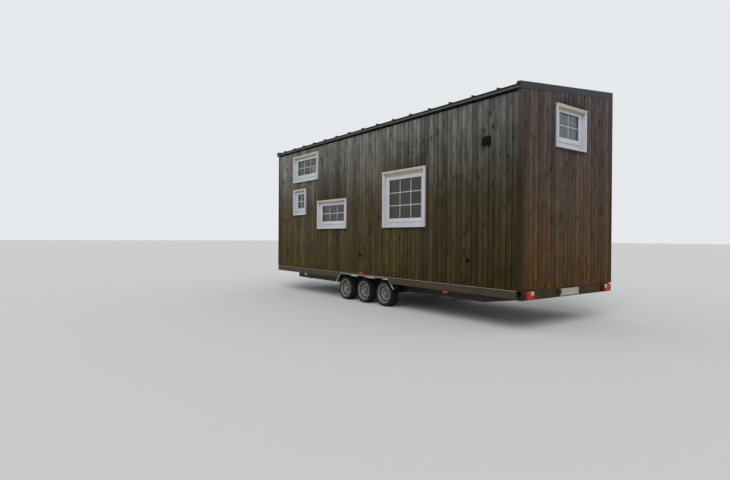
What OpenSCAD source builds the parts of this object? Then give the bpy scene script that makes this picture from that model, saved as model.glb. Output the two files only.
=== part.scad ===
// Small timber house standing on a three-axle trailer chassis.
// X runs from the drawbar to the rear wall, Y to the high side of the roof, Z up.
// The wheels stand on z = 0. All sizes are in millimetres.

/* [Body] */
// Length of the timber body
body_l = 7290; // [7200:10:7800]
// Width across the outer faces of the walls
body_w = 2440; // [2360:10:2480]
// Thickness of the walls with their boards
wall_t = 150; // [130:5:170]
// Height of the steel deck the walls stand on
deck_z = 565; // [560:5:600]
// Height of the low wall top above the foot of the tyres
eave_z = 3340; // [3330:10:3450]
// Rise of the roof across the body
roof_rise = 272; // [200:4:320]
// Thickness of the insulated floor
floor_t = 90; // [60:5:140]
// Height of the loft floors' undersides
loft_z = 2465; // [2440:5:2475]
// Thickness of the loft floors
loft_t = 95; // [60:5:110]
// Length of the front loft floor
front_loft_l = 1900; // [1500:10:2000]
// Length of the rear loft floor
rear_loft_l = 1620; // [1200:10:1680]

/* [Roof] */
// Thickness of the roof deck above the walls
deck_t = 62; // [50:2:90]
// Depth of the roof beams between the walls
beam_h = 95; // [60:5:110]
// Thickness of the metal sheet
sheet_t = 6; // [4:1:8]
// Height of the standing seams
seam_h = 25; // [18:1:34]
// Width of one standing seam
seam_w = 14; // [10:1:20]
// Spacing of the standing seams
seam_pitch = 465; // [440:5:500]
// Reach of the eave past the low wall
eave_out = 50; // [40:2:60]
// Reach of the sheet past the fascia
drip_out = 10; // [6:1:14]
// Height of the fascia under the eave
fascia_h = 46; // [30:2:50]
// Thickness of the vent strip under the fascia
vent_t = 6; // [4:1:10]
// Thickness of the verge and ridge flashings
flash_t = 5; // [3:1:12]
// Reach of the flashings over the sheet
flash_in = 60; // [40:5:90]

/* [Windows] */
// Width of the wide windows over their casings
wide_w = 1126; // [1080:2:1160]
// Height of the tall window
tall_h = 1010; // [960:10:1030]
// Height of the low and the loft window
low_h = 612; // [580:4:630]
// Width of the narrow window
narrow_w = 580; // [550:5:610]
// Height of the narrow window
narrow_h = 600; // [580:5:620]
// Width of the windows in the end walls
end_w = 800; // [740:10:850]
// Height of the windows in the end walls
end_h = 624; // [600:4:640]
// Distance of the tall window's middle from the rear wall
tall_s = 2445; // [2400:5:2500]
// Distance of the low window's middle from the front wall
low_f = 2510; // [2480:5:2540]
// Distance of the narrow window's middle from the front wall
narrow_f = 1117; // [1097:2:1137]
// Distance of the loft window's middle from the front wall
loft_f = 1384; // [1354:2:1414]
// Offset of the end windows from the wall's middle towards the low side
end_off = 17; // [0:1:40]
// Sill height of the tall and the low window
sill_z = 1475; // [1440:5:1500]
// Sill height of the narrow window
narrow_z = 1812; // [1800:4:1820]
// Sill height of the loft window
loft_sill_z = 2590; // [2584:2:2600]
// Sill height of the end windows
end_sill_z = 2634; // [2620:2:2640]
// Thickness of the casing boards
casing_t = 28; // [24:1:34]
// Reach of the casings out of the wall
casing_out = 30; // [20:1:34]
// Thickness of the drip caps
cap_t = 14; // [10:1:18]
// Reach of the drip caps out of the wall
cap_out = 36; // [35:1:44]
// Reach of the drip caps past the casing
cap_side = 14; // [4:1:40]
// Width of a sash stile
stile_w = 56; // [50:1:64]
// Width of the fixed frame at the sides
frame_w = 46; // [40:1:54]
// Extra height of both bottom rails
rail_extra = 16; // [0:1:20]
// How much lower the fixed frame's head is than its sides are wide
head_cut = 10; // [0:1:14]
// How much lower the sash's top rail is than its stiles are wide
rail_cut = 12; // [0:1:16]
// Extra height of the tall window's head
head_extra = 20; // [0:1:24]
// How much lower the head members of the end windows are
end_less = 10; // [0:1:14]
// Depth of the fixed frames
frame_d = 70; // [60:1:80]
// Reach of the sashes past the fixed frames
sash_out = 10; // [6:1:14]
// Depth of the glass behind the boards
glass_in = 50; // [42:1:60]
// Depth of the glass behind the fixed frame's face
rebate = 16; // [12:1:20]
// Thickness of the glass units
glass_t = 24; // [18:1:30]
// Width of the glazing bars
bar_w = 20; // [16:1:28]
// Depth of the glazing bars in front of the glass
bar_t = 10; // [6:1:12]

/* [Door] */
// Distance of the door's middle from the rear wall
door_s = 3905; // [3850:10:4000]
// Width of the door over its frame
door_w = 980; // [900:10:1040]
// Height of the door over its frame
door_h = 2010; // [1900:10:2040]
// Width of the door frame
door_case = 62; // [50:1:76]
// Height of the threshold
door_foot = 30; // [20:1:40]
// Reach of the door's drip cap out of the wall
door_cap_out = 50; // [40:1:50]
// Depth of the leaf's face behind the boards
leaf_in = 30; // [20:1:40]
// Thickness of the leaf
leaf_t = 56; // [44:1:68]
// Width of the leaf's stiles and top rail
door_stile = 95; // [80:1:120]
// Height of the lower door panel
panel_h = 620; // [500:10:800]
// Width of the flat margin round the raised field
field_in = 25; // [10:1:50]
// Height of the raised field
field_out = 8; // [4:1:12]
// Rows of panes in the door
door_rows = 4; // [2:1:5]
// Height of the handle above the leaf's foot
handle_z = 1030; // [950:10:1100]
// Distance of the handle from the leaf's edge
handle_in = 48; // [40:1:56]
// Length of the lever
lever_l = 125; // [100:1:140]
// Height of the lever
lever_h = 18; // [14:1:24]
// Thickness of the lever
lever_t = 14; // [10:1:16]
// Distance of the lever from the leaf
lever_gap = 34; // [28:1:36]
// Diameter of the spindle boss
spindle_d = 22; // [16:1:28]

/* [Chassis] */
// How far the chassis ends inside the high wall; it is flush with the low wall
rail_in = 74; // [0:2:120]
// Height of the side rails
rail_h = 115; // [100:5:120]
// Depth of the side rails
rail_w = 60; // [50:5:80]
// Thickness of the rail steel
rail_t = 6; // [4:1:8]
// Reach of the top lip of the rails
lip_out = 12; // [8:1:16]
// Height of the main beams
main_h = 165; // [150:5:170]
// Width of the main beams
main_w = 60; // [50:5:70]
// Distance between the main beams' middles
main_gap = 1480; // [1400:10:1500]
// Distance of the main beams from the front wall
main_front = 350; // [250:10:450]
// Length of the main beams' tapered rear ends
taper_l = 900; // [500:10:1000]
// Height of the main beams at their rear ends
tail_h = 26; // [24:1:70]
// Number of cross members
cross_n = 13; // [9:1:15]
// Width of a cross member
cross_w = 50; // [40:5:60]
// Distance of the first cross member from the front wall
cross_front = 95; // [60:5:130]
// Distance of the last cross member from the rear wall
cross_rear = 145; // [110:5:180]
// Height of the rear bumper beam
bumper_h = 130; // [120:5:140]
// Depth of the bumper beam inside the rear wall
bumper_d = 70; // [50:5:80]
// Reach of the drawbar ahead of the front wall
tow_l = 1250; // [1150:10:1500]
// Reach of the drawbar tubes under the house
draw_in = 1200; // [1000:10:1400]
// Height of the drawbar tubes
draw_h = 110; // [90:5:120]
// Width of the drawbar tubes
draw_w = 70; // [60:5:80]
// Distance of the drawbar tubes' tips from the coupling's tip
tip_l = 460; // [440:5:500]
// Half the gap between the tubes' tips
tip_gap = 30; // [20:1:40]
// Width of the nose plate
nose_w = 120; // [110:2:140]

/* [Coupling] */
// Diameter of the tow ball the coupling takes
ball_d = 50; // [50:1:60]
// Free play of the tow ball
ball_play = 0.4; // [0.2:0.1:1]
// Wall round the tow ball
ball_wall = 25; // [18:1:32]
// Depth of the ball socket
socket_h = 50; // [45:1:60]
// Thickness of the steel over the socket
head_top = 12; // [8:1:16]
// Width of the coupling's neck
neck_w = 68; // [56:2:76]
// Length of the coupling from its tip
neck_l = 250; // [230:5:270]
// Width of the coupling's top plate
top_w = 76; // [70:2:90]
// Length from the tip to the top plate's end
top_l = 420; // [380:5:440]
// Height of the coupling lever over the plate
grip_h = 46; // [36:1:60]
// Thickness of the coupling lever
grip_t = 22; // [16:1:28]
// Width of the coupling lever
grip_w = 24; // [18:1:30]
// Length of the coupling lever
grip_l = 150; // [120:5:170]
// Distance of the nose wheel's post from the coupling's tip
post_l = 560; // [540:5:620]
// Offset of the nose wheel's post from the chassis middle
post_y = 175; // [165:1:190]
// Diameter of the nose wheel's post
post_d = 60; // [48:1:70]
// Length of the post
post_h = 420; // [380:5:460]
// Free play of the post in its clamp
post_play = 0.4; // [0.2:0.1:1]
// Diameter of the nose wheel
nose_d = 150; // [120:5:180]
// Width of the nose wheel
nose_wheel_w = 60; // [45:1:62]
// Height of the nose wheel's axle above the foot of the tyres
nose_z = 190; // [180:1:205]
// Reach of the crank
crank_l = 150; // [120:5:180]
// Thickness of the crank
crank_t = 18; // [14:1:22]
// Length of the crank's grip
crank_grip = 90; // [70:5:110]

/* [Wheels] */
// Tyre diameter
tyre_d = 480; // [470:2:510]
// Tyre width
tyre_w = 195; // [175:5:205]
// Diameter of the rim flange
rim_d = 368; // [356:1:372]
// Spacing of the axles
axle_gap = 635; // [600:5:680]
// Distance of the middle axle from the rear wall
axle_s = 3700; // [3650:5:3730]
// Depth of the tyres' outer faces inside the side rails
tyre_in = 60; // [50:5:80]
// Diameter of the stub axles
stub_d = 40; // [34:1:44]
// Free play between stub and hub, across the diameter
stub_play = 0.6; // [0.4:0.1:1]
// Side of the square axle tubes
axle_tube = 70; // [60:2:80]
// Distance of the axle tube's middle ahead of the hub
arm_l = 150; // [130:5:170]
// Thickness of the swing arms
arm_t = 24; // [18:1:30]
// Height of the swing arms
arm_h = 64; // [56:2:72]
// Clearance between tyre and swing arm
arm_gap = 6; // [6:1:12]
// Turning clearance between the axle tube and the swing arms
arm_play = 0.5; // [0.4:0.1:0.9]
// Diameter of the brake drums
drum_d = 190; // [170:5:204]
// Number of hand holes in a rim
hole_n = 10; // [6:1:12]
// Diameter of the hand holes
hole_d = 24; // [16:1:28]
// Number of wheel bolts
bolt_n = 5; // [4:1:6]
// Diameter of the wheel bolts
bolt_d = 19; // [16:1:22]
// Diameter of the bolt circle
bolt_circle = 112; // [108:1:114]
// Length of the level part of a mudguard
guard_l = 1572; // [1540:4:1600]
// Distance of the mudguards' middle behind the middle axle
guard_off = 30; // [0:5:60]
// Reach of a sloping mudguard end
guard_slope = 176; // [150:4:200]
// Lower edge of the mudguard ends
guard_z = 350; // [320:5:380]
// Depth of the mudguards' tops under the deck
guard_drop = 14; // [10:1:20]
// Thickness of the mudguard sheet
guard_t = 5; // [3:1:8]
// Depth of the mudguard lip
guard_lip = 24; // [14:1:34]
// Depth of the mudguard's lip inside the side rail's face
guard_in = 15; // [8:1:30]
// Clearance between a tyre and the inner edge of its well
well_gap = 70; // [50:5:90]

/* [Fittings] */
// Width of a tail lamp
lamp_w = 240; // [200:5:260]
// Height of a tail lamp
lamp_h = 124; // [100:2:126]
// Depth of a tail lamp
lamp_d = 50; // [50:1:60]
// Distance of a tail lamp from the chassis side
lamp_in = 28; // [10:1:60]
// Depth of the lamps' tops under the deck
lamp_drop = 3; // [2:1:8]
// Depth of the lamp housing behind the lenses
lamp_back = 16; // [10:1:24]
// Width of the joints between the lenses
lens_gap = 2; // [1:0.5:4]
// Width of the number plate
plate_w = 520; // [480:5:540]
// Height of the number plate
plate_h = 112; // [100:1:120]
// Thickness of the plate with its holder
plate_t = 12; // [6:1:16]
// Offset of the number plate from the chassis middle
plate_off = -21; // [-60:1:60]
// Width of the plate lamp
light_w = 45; // [36:1:56]
// Height of the plate lamp
light_h = 85; // [70:1:100]
// Depth of the plate lamp
light_d = 48; // [30:1:49]
// Width of the side markers
marker_w = 100; // [80:2:120]
// Height of the side markers
marker_h = 42; // [34:1:50]
// Depth of the side markers
marker_d = 26; // [18:1:30]
// Depth of the side markers' faces inside the rails
marker_in = 4; // [2:1:12]
// Distance of the rear side markers from the rear wall
amber_s = 1428; // [1300:2:1500]
// Distance of the front side markers from the front wall
clear_f = 1395; // [1300:5:1500]
// Side of the square air cowl
cowl_w = 132; // [110:2:160]
// Reach of the air cowl
cowl_out = 48; // [30:2:49]
// Height of the cowl's upright face
cowl_face = 82; // [60:1:90]
// Distance of the air cowl from the rear wall
cowl_s = 594; // [560:2:620]
// Height of the air cowl's foot above the foot of the tyres
cowl_z = 2648; // [2600:2:2700]
// Thickness of the cowl's plastic
cowl_t = 6; // [3:1:8]
// Diameter of the small wall inlets
inlet_d = 64; // [50:2:90]
// Reach of the wall inlets
inlet_t = 14; // [10:1:20]
// Width of an inlet's rim
inlet_rim = 11; // [6:1:14]
// Depth of an inlet's bowl
inlet_bowl = 9; // [4:1:9]
// Height of the wall inlets above the foot of the tyres
inlet_z = 946; // [900:2:1000]
// Distance of the rear inlet from the rear wall
inlet_rear = 950; // [900:10:1000]
// Distance of the middle inlet from the rear wall
inlet_mid = 3720; // [3650:10:3800]
// Distance of the front inlet from the front wall
inlet_front = 520; // [480:10:560]
// Width of the corner trims along the sides
trim_w = 68; // [50:2:90]
// Width of the corner trims along the ends
trim_end = 33; // [24:1:60]
// Thickness of the corner trims
trim_t = 3; // [2:1:8]
// Gap under the corner trims
trim_foot = 4; // [2:1:8]
// Gap over the corner trims
trim_head = 2; // [1:1:6]

/* [Hidden] */
$fn = 48;

// Outer face of the bumper beam behind the rear wall.
lamp_out = 10;
// Gap between parts of different bodies that touch.
bead_gap = 0.3;
// Overshoot of cutting solids.
cut = 1;

hw = body_w / 2;
rear_x = (body_l + tow_l - lamp_out - lamp_d) / 2;
front_x = rear_x - body_l;
slope = roof_rise / body_w;
floor_z = deck_z + floor_t;
stack_h = deck_t + sheet_t + seam_h;

// The chassis has its own middle line.
chassis_y = -rail_in / 2;
ch = hw - rail_in / 2;
rail_z = deck_z - rail_h;
main_z = rail_z - main_h;
main_y = main_gap / 2;
bumper_z = deck_z - bumper_h;
head_x = front_x - tow_l;

hub_z = tyre_d / 2;
axle_x = rear_x - axle_s;
guard_x = axle_x + guard_off;
guard_top = deck_z - guard_drop;
wheel_y = ch - tyre_in - tyre_w / 2;
guard_out = ch - guard_in;
guard_half = guard_l / 2;
well_y = ch - tyre_in - tyre_w - well_gap;

// Windows as [distance of the middle from the rear wall or from the wall's middle,
// sill, width, height, columns, rows, extra head].
tall_win = [tall_s, sill_z, wide_w, tall_h, 3, 3, head_extra];
low_win = [body_l - low_f, sill_z, wide_w, low_h, 3, 2, 0];
narrow_win = [body_l - narrow_f, narrow_z, narrow_w, narrow_h, 2, 2, 0];
loft_win = [body_l - loft_f, loft_sill_z, wide_w, low_h, 3, 2, 0];
rear_win = [end_off, end_sill_z, end_w, end_h, 2, 2, -end_less];
front_win = [-end_off, end_sill_z, end_w, end_h, 2, 2, -end_less];
left_wins = [tall_win, low_win, narrow_win, loft_win];
right_wins = [tall_win, narrow_win, loft_win];

function top_z(y) = eave_z + (y + hw) * slope;

// Height of a wall top, rounded down so that it never cuts into the roof deck,
// and rounded up for what lies on the seams.
function seat_z(y) = floor(top_z(y) * 100) / 100;
function lift_z(y) = ceil(top_z(y) * 100) / 100;

// Points of a curve that leaves a, is drawn towards b and ends at c.
function bend(a, b, c, n) = [
    for (i = [1 : n])
        let (t = i / n)
            a * (1 - t) * (1 - t) + b * 2 * t * (1 - t) + c * t * t
];

// The same section on the other side of the wheel's middle, in reverse order.
function mirrored(points) = [for (i = [len(points) - 1 : -1 : 0]) [points[i][0], -points[i][1]]];

// Draws a Y-Z outline along X.
module along_x(x0, length) {
    translate([x0, 0, 0])
        rotate([90, 0, 90])
            linear_extrude(length)
                children();
}

// Draws an X-Z outline along Y, from y0 towards +Y.
module along_y(y0, length) {
    translate([0, y0 + length, 0])
        rotate([90, 0, 0])
            linear_extrude(length)
                children();
}

// Band that follows the roof slope between two heights above the wall tops.
module roof_band(y0, y1, low, high) {
    polygon([
        [y0, top_z(y0) + low],
        [y1, top_z(y1) + low],
        [y1, top_z(y1) + high],
        [y0, top_z(y0) + high]
    ]);
}

module box(x0, x1, y0, y1, z0, z1) {
    translate([x0, y0, z0])
        cube([x1 - x0, y1 - y0, z1 - z0]);
}

// Puts a pair of parts, drawn for the left side, on both sides of the chassis.
module chassis_pair() {
    translate([0, chassis_y, 0])
        for (s = [0, 1])
            mirror([0, s, 0])
                children();
}

module chassis() {
    translate([0, chassis_y, 0])
        children();
}

// Puts a piece drawn for the left wall (outer face at y = 0, inside towards +y)
// on its wall.
module on_left() {
    translate([rear_x, -hw, 0])
        children();
}

module on_right() {
    translate([rear_x, hw, 0])
        mirror([0, 1, 0])
            children();
}

module on_rear() {
    translate([rear_x, 0, 0])
        rotate([0, 0, 90])
            children();
}

module on_front() {
    translate([front_x, 0, 0])
        rotate([0, 0, -90])
            children();
}

// Main beams: channels with their backs outwards and tapered rear ends.
function beam_outline(t) = [
    [front_x + main_front - (t > 0 ? cut : 0), main_z + t],
    [rear_x - bumper_d - taper_l, main_z + t],
    [rear_x - bumper_d + (t > 0 ? cut : 0), rail_z - tail_h + t],
    [rear_x - bumper_d + (t > 0 ? cut : 0), rail_z - t],
    [front_x + main_front - (t > 0 ? cut : 0), rail_z - t]
];

module main_beams() {
    color("#8d8f88")
        chassis_pair()
            difference() {
                along_y(-main_y - main_w / 2, main_w)
                    polygon(beam_outline(0));
                along_y(-main_y - main_w / 2 + rail_t, main_w)
                    polygon(beam_outline(rail_t * 1.5));
            }
}

function cross_x(i) = front_x + cross_front + (body_l - cross_front - cross_rear) * i / (cross_n - 1);
function in_well(x) = abs(x - guard_x) < guard_half + guard_slope + cross_w;

module cross_members() {
    color("#8d8f88")
        chassis()
            for (i = [0 : cross_n - 1]) {
                x = cross_x(i);
                reach = in_well(x) ? well_y : ch - rail_w;
                box(x - cross_w / 2, x + cross_w / 2, -reach, reach, rail_z, deck_z);
            }
}

// One side rail: a channel open to the inside, with a top lip.
module side_rail(x0, x1) {
    difference() {
        box(x0, x1, -ch, -ch + rail_w, rail_z, deck_z);
        box(x0 - cut, x1 + cut, -ch + rail_t, -ch + rail_w + cut, rail_z + rail_t, deck_z - rail_t);
    }
    box(x0, x1, -ch - lip_out, -ch, deck_z - rail_t, deck_z);
}

// Outline of the wheel arch, widened by the joint to the mudguard's ends.
module arch_outline(gap) {
    a = guard_half + gap;
    b = guard_half + guard_slope + gap;
    polygon([[-b, guard_z], [-a, guard_top], [a, guard_top], [b, guard_z]]);
}

// Side rails; a flat bar carries each rail on over the mudguard.
module side_rails() {
    color("#8d8f88")
        chassis_pair()
            difference() {
                union() {
                    side_rail(front_x, rear_x - bumper_d);
                    box(
                        guard_x - guard_half - rail_w, guard_x + guard_half + rail_w, -ch, -ch + rail_w,
                        guard_top, deck_z
                    );
                }
                translate([guard_x, 0, 0])
                    along_y(-ch - lip_out - cut, rail_w + lip_out + 2 * cut)
                        arch_outline(bead_gap);
            }
}

module rear_bumper() {
    color("#55564f")
        chassis()
            difference() {
                box(rear_x - bumper_d, rear_x + lamp_out, -ch, ch, bumper_z, deck_z);
                box(
                    rear_x - bumper_d - cut, rear_x + lamp_out - rail_t, -ch - cut, ch + cut,
                    bumper_z + rail_t, deck_z - rail_t
                );
            }
}

// Drawbar of two tubes that meet in a nose plate, with the nose wheel's clamp.
tip_lap = 10;
clamp_h = 80;
clamp_drop = 15;
clamp_wall = 16;
clamp_root = 70;
clamp_x = head_x + post_l;

module drawbar() {
    root = main_y - main_w / 2;
    x1 = front_x + draw_in;
    x0 = head_x + tip_l;
    color("#8d8f88")
        chassis() {
            for (s = [0, 1])
                mirror([0, s, 0])
                    translate([0, 0, rail_z - draw_h])
                        linear_extrude(draw_h)
                            polygon([
                                [x1, root],
                                [x1, root - draw_w],
                                [x0, tip_gap],
                                [x0, tip_gap + draw_w * 0.9]
                            ]);
            box(head_x + neck_l, x0 + tip_lap, -nose_w / 2, nose_w / 2, rail_z - draw_h, rail_z);
            difference() {
                box(
                    clamp_x - clamp_h / 2, clamp_x + clamp_h / 2, post_y - clamp_root,
                    post_y + post_d / 2 + clamp_wall, rail_z - clamp_drop - clamp_h, rail_z - clamp_drop
                );
                translate([clamp_x, post_y, rail_z - clamp_drop - clamp_h - cut])
                    cylinder(d = post_d + post_play, h = clamp_h + 2 * cut);
            }
        }
}

// Coupling: socket for the tow ball, neck, top plate and lever.
head_d = ball_d + 2 * ball_wall;

module coupling_head() {
    color("#3b3d40")
        chassis() {
            box(head_x + head_d / 2, head_x + top_l, -top_w / 2, top_w / 2, rail_z, rail_z + head_top);
            difference() {
                union() {
                    box(
                        head_x + head_d / 2, head_x + neck_l, -neck_w / 2, neck_w / 2,
                        rail_z - socket_h, rail_z
                    );
                    translate([head_x + head_d / 2, 0, rail_z - socket_h])
                        cylinder(d = head_d, h = socket_h + head_top);
                }
                translate([head_x + head_d / 2, 0, rail_z - socket_h - cut])
                    cylinder(d = ball_d + ball_play, h = socket_h + cut);
            }
            box(
                head_x + neck_l - 2.5 * grip_w, head_x + neck_l - grip_w / 2, -grip_w / 2, grip_w / 2,
                rail_z + head_top, rail_z + grip_h + grip_t
            );
            box(
                head_x + neck_l - grip_w - grip_l, head_x + neck_l - grip_w / 2, -grip_w / 2, grip_w / 2,
                rail_z + grip_h, rail_z + grip_h + grip_t
            );
        }
}

fork_gap = 3;

module jockey_wheel() {
    post_z = nose_z + nose_d / 2 + fork_gap;
    top = post_z + post_h;
    screw_h = post_d;
    cheek_t = post_d / 6;
    cheek_y = nose_wheel_w / 2 + fork_gap;
    cheek_foot = nose_z - nose_d * 0.27;
    crank_z = top + screw_h;
    color("#9a9c98")
        translate([clamp_x, chassis_y + post_y, 0]) {
            translate([0, 0, post_z])
                cylinder(d = post_d, h = post_h);
            translate([0, 0, top])
                cylinder(d = crank_t, h = screw_h);
            box(-crank_t / 2, crank_l, -crank_t / 2, crank_t / 2, crank_z, crank_z + crank_t);
            translate([crank_l - crank_t / 2, 0, crank_z + crank_t])
                cylinder(d = crank_t * 1.45, h = crank_grip);
            for (s = [0, 1])
                mirror([0, s, 0])
                    box(-post_d / 2, post_d / 2, cheek_y, cheek_y + cheek_t, cheek_foot, post_z + cheek_t);
            box(-post_d / 2, post_d / 2, -cheek_y - cheek_t, cheek_y + cheek_t, post_z, post_z + cheek_t);
            translate([0, nose_wheel_w / 2, nose_z])
                rotate([90, 0, 0])
                    cylinder(d = nose_d, h = nose_wheel_w);
            translate([0, cheek_y + cheek_t / 2, nose_z])
                rotate([90, 0, 0])
                    cylinder(d = crank_t, h = 2 * cheek_y + cheek_t);
        }
}

// Rubber-sprung axle: square tube, swing arms, drums and stubs.
module axle(x) {
    arm_y = wheel_y - tyre_w / 2 - arm_gap - arm_t;
    drum_y = wheel_y - tyre_w * 0.36 - arm_gap;
    stub_y = wheel_y + tyre_w * 0.23;
    tube_x = x - arm_l;
    color("#6f726e")
        chassis() {
            box(
                tube_x - axle_tube / 2, tube_x + axle_tube / 2, -arm_y + arm_play, arm_y - arm_play,
                main_z - axle_tube, main_z
            );
            for (s = [0, 1])
                mirror([0, s, 0]) {
                    box(tube_x - axle_tube / 2, x, arm_y, arm_y + arm_t, hub_z - arm_h / 2, hub_z + arm_h / 2);
                    translate([x, drum_y, hub_z])
                        rotate([90, 0, 0])
                            cylinder(d = drum_d, h = drum_y - arm_y - 4);
                    translate([x, stub_y, hub_z])
                        rotate([90, 0, 0])
                            cylinder(d = stub_d, h = stub_y - arm_y - 10);
                }
        }
}

module front_axle() {
    axle(axle_x - axle_gap);
}

module middle_axle() {
    axle(axle_x);
}

module rear_axle() {
    axle(axle_x + axle_gap);
}

// Line of the mudguard at a depth under its outer face.
function guard_line(t) =
    let (
        fall = guard_top - guard_z,
        side = t * sqrt(guard_slope * guard_slope + fall * fall) / fall,
        b = guard_half + guard_slope - side,
        a = guard_half - side + guard_slope * t / fall
    )
    [[-b, guard_z], [-a, guard_top - t], [a, guard_top - t], [b, guard_z]];

function reversed(points) = [for (i = [len(points) - 1 : -1 : 0]) points[i]];

// Sheet mudguard with sloping ends and a turned-down lip.
module mudguard() {
    color("#a3a59c")
        translate([guard_x, 0, 0]) {
            along_y(-guard_out, guard_out - well_y)
                polygon(concat(guard_line(0), reversed(guard_line(guard_t))));
            along_y(-guard_out, guard_t)
                polygon(concat(guard_line(0), reversed(guard_line(guard_lip))));
        }
}

module left_mudguard() {
    chassis()
        mudguard();
}

module right_mudguard() {
    chassis()
        mirror([0, 1, 0])
            mudguard();
}

// Tail lamps with a housing and four lenses, plate, plate lamp and markers.
module lens(x0, x1, y0, y1, z0, z1) {
    g = lens_gap / 2;
    box(x0, x1, y0 + g, y1 - g, z0 + g, z1 - g);
}

module tail_lamps() {
    x0 = rear_x + lamp_out;
    x1 = x0 + lamp_d;
    y0 = -ch + lamp_in;
    y1 = y0 + lamp_w;
    z1 = deck_z - lamp_drop;
    z0 = z1 - lamp_h;
    split = y0 + lamp_w * 0.56;
    end = y0 + lamp_w * 0.8;
    shelf = z0 + lamp_h * 0.5;
    color("#c8381f")
        chassis_pair() {
            box(x0, x0 + lamp_back, y0, y1, z0, z1);
            lens(x0 + lamp_back, x1, y0, split, z0, z1);
            lens(x0 + lamp_back, x1, split, end, shelf, z1);
            lens(x0 + lamp_back, x1, split, end, z0, shelf);
            lens(x0 + lamp_back, x1 - lens_gap, end, y1, z0, z1);
        }
}

plate_y = plate_off - plate_w / 2;
plate_drop = 6;

module number_plate() {
    x0 = rear_x + lamp_out;
    z1 = deck_z - plate_drop;
    rim = plate_t / 3;
    color("#e8e8e2")
        chassis() {
            box(x0, x0 + plate_t * 0.8, plate_y, plate_y + plate_w, z1 - plate_h, z1);
            box(
                x0 + plate_t * 0.8, x0 + plate_t, plate_y + rim, plate_y + plate_w - rim,
                z1 - plate_h + rim, z1 - rim
            );
        }
}

module plate_lamp() {
    x0 = rear_x + lamp_out;
    z1 = deck_z - plate_drop * 2;
    color("#1d1e1f")
        chassis()
            along_y(plate_y - light_w, light_w)
                polygon([
                    [x0, z1 - light_h], [x0 + light_d * 0.7, z1 - light_h],
                    [x0 + light_d, z1 - light_h * 0.7], [x0 + light_d, z1], [x0, z1]
                ]);
}

// Side marker under a rail, by the x of its middle.
module rail_marker(x) {
    y = -ch + marker_in;
    box(x - marker_w / 2, x + marker_w / 2, y, y + marker_d, rail_z - marker_h, rail_z);
}

module amber_markers() {
    color("#e07a2a") {
        chassis_pair()
            rail_marker(rear_x - amber_s);
        for (s = [0, 1])
            mirror([0, s, 0])
                box(
                    guard_x - marker_w / 2, guard_x + marker_w / 2, -hw - marker_d, -hw,
                    deck_z + lens_gap, deck_z + lens_gap + marker_h
                );
    }
}

module clear_markers() {
    color("#e6e6dc")
        chassis_pair()
            rail_marker(front_x + clear_f);
}

// Timber body.
module floor_deck() {
    color("#b08d5e")
        box(front_x + wall_t, rear_x - wall_t, -hw + wall_t, hw - wall_t, deck_z, floor_z);
}

// Window cut in a wall.
module window_cut(w) {
    box(-w[0] - w[2] / 2, -w[0] + w[2] / 2, -cut, wall_t + cut, w[1], w[1] + w[3]);
}

module left_wall() {
    y1 = -hw + wall_t;
    color("#4a4337")
        difference() {
            along_x(front_x + wall_t, body_l - 2 * wall_t)
                polygon([[-hw, deck_z], [y1, deck_z], [y1, seat_z(y1)], [-hw, seat_z(-hw)]]);
            on_left()
                for (w = left_wins)
                    window_cut(w);
        }
}

module door_cut() {
    box(-door_s - door_w / 2, -door_s + door_w / 2, -cut, wall_t + cut, floor_z, floor_z + door_h);
}

module right_wall() {
    y0 = hw - wall_t;
    color("#4a4337")
        difference() {
            along_x(front_x + wall_t, body_l - 2 * wall_t)
                polygon([[y0, deck_z], [hw, deck_z], [hw, seat_z(hw)], [y0, seat_z(y0)]]);
            on_right() {
                for (w = right_wins)
                    window_cut(w);
                door_cut();
            }
        }
}

module end_wall_body(x0) {
    along_x(x0, wall_t)
        polygon([[-hw, deck_z], [hw, deck_z], [hw, top_z(hw)], [-hw, top_z(-hw)]]);
}

module rear_wall() {
    color("#4a3f38")
        difference() {
            end_wall_body(rear_x - wall_t);
            on_rear()
                window_cut(rear_win);
        }
}

module front_wall() {
    color("#4a3f38")
        difference() {
            end_wall_body(front_x);
            on_front()
                window_cut(front_win);
        }
}

module loft_floors() {
    x0 = front_x + wall_t;
    x1 = rear_x - wall_t;
    y = hw - wall_t;
    color("#c9a877") {
        box(x0, x0 + front_loft_l, -y, y, loft_z, loft_z + loft_t);
        box(x1 - rear_loft_l, x1, -y, y, loft_z, loft_z + loft_t);
    }
}

// Roof: deck with beams, sheet with standing seams, fascia, vent strip and flashings.
module roof_deck() {
    color("#a08660") {
        along_x(front_x, body_l)
            roof_band(-hw, hw, 0, deck_t);
        along_x(front_x + wall_t, body_l - 2 * wall_t)
            roof_band(-hw + wall_t, hw - wall_t, -beam_h, cut);
    }
}

seam_n = floor(body_l / seam_pitch / 2);

module roof_sheet() {
    color("#45474d") {
        along_x(front_x, body_l)
            roof_band(-hw - eave_out, hw, deck_t, deck_t + sheet_t);
        for (i = [-seam_n : seam_n])
            if (abs(i * seam_pitch) < body_l / 2 - flash_in - seam_w)
                along_x((front_x + rear_x) / 2 + i * seam_pitch - seam_w / 2, seam_w)
                    roof_band(-hw - eave_out, hw, deck_t + sheet_t, stack_h);
    }
}

module eave_fascia() {
    color("#5a5c61")
        along_x(front_x, body_l)
            roof_band(-hw - eave_out + drip_out, -hw, deck_t - fascia_h, deck_t);
}

module eave_vent() {
    color("#1b1c1d")
        along_x(front_x, body_l)
            roof_band(-hw - vent_t, -hw, 0, deck_t - fascia_h);
}

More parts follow.
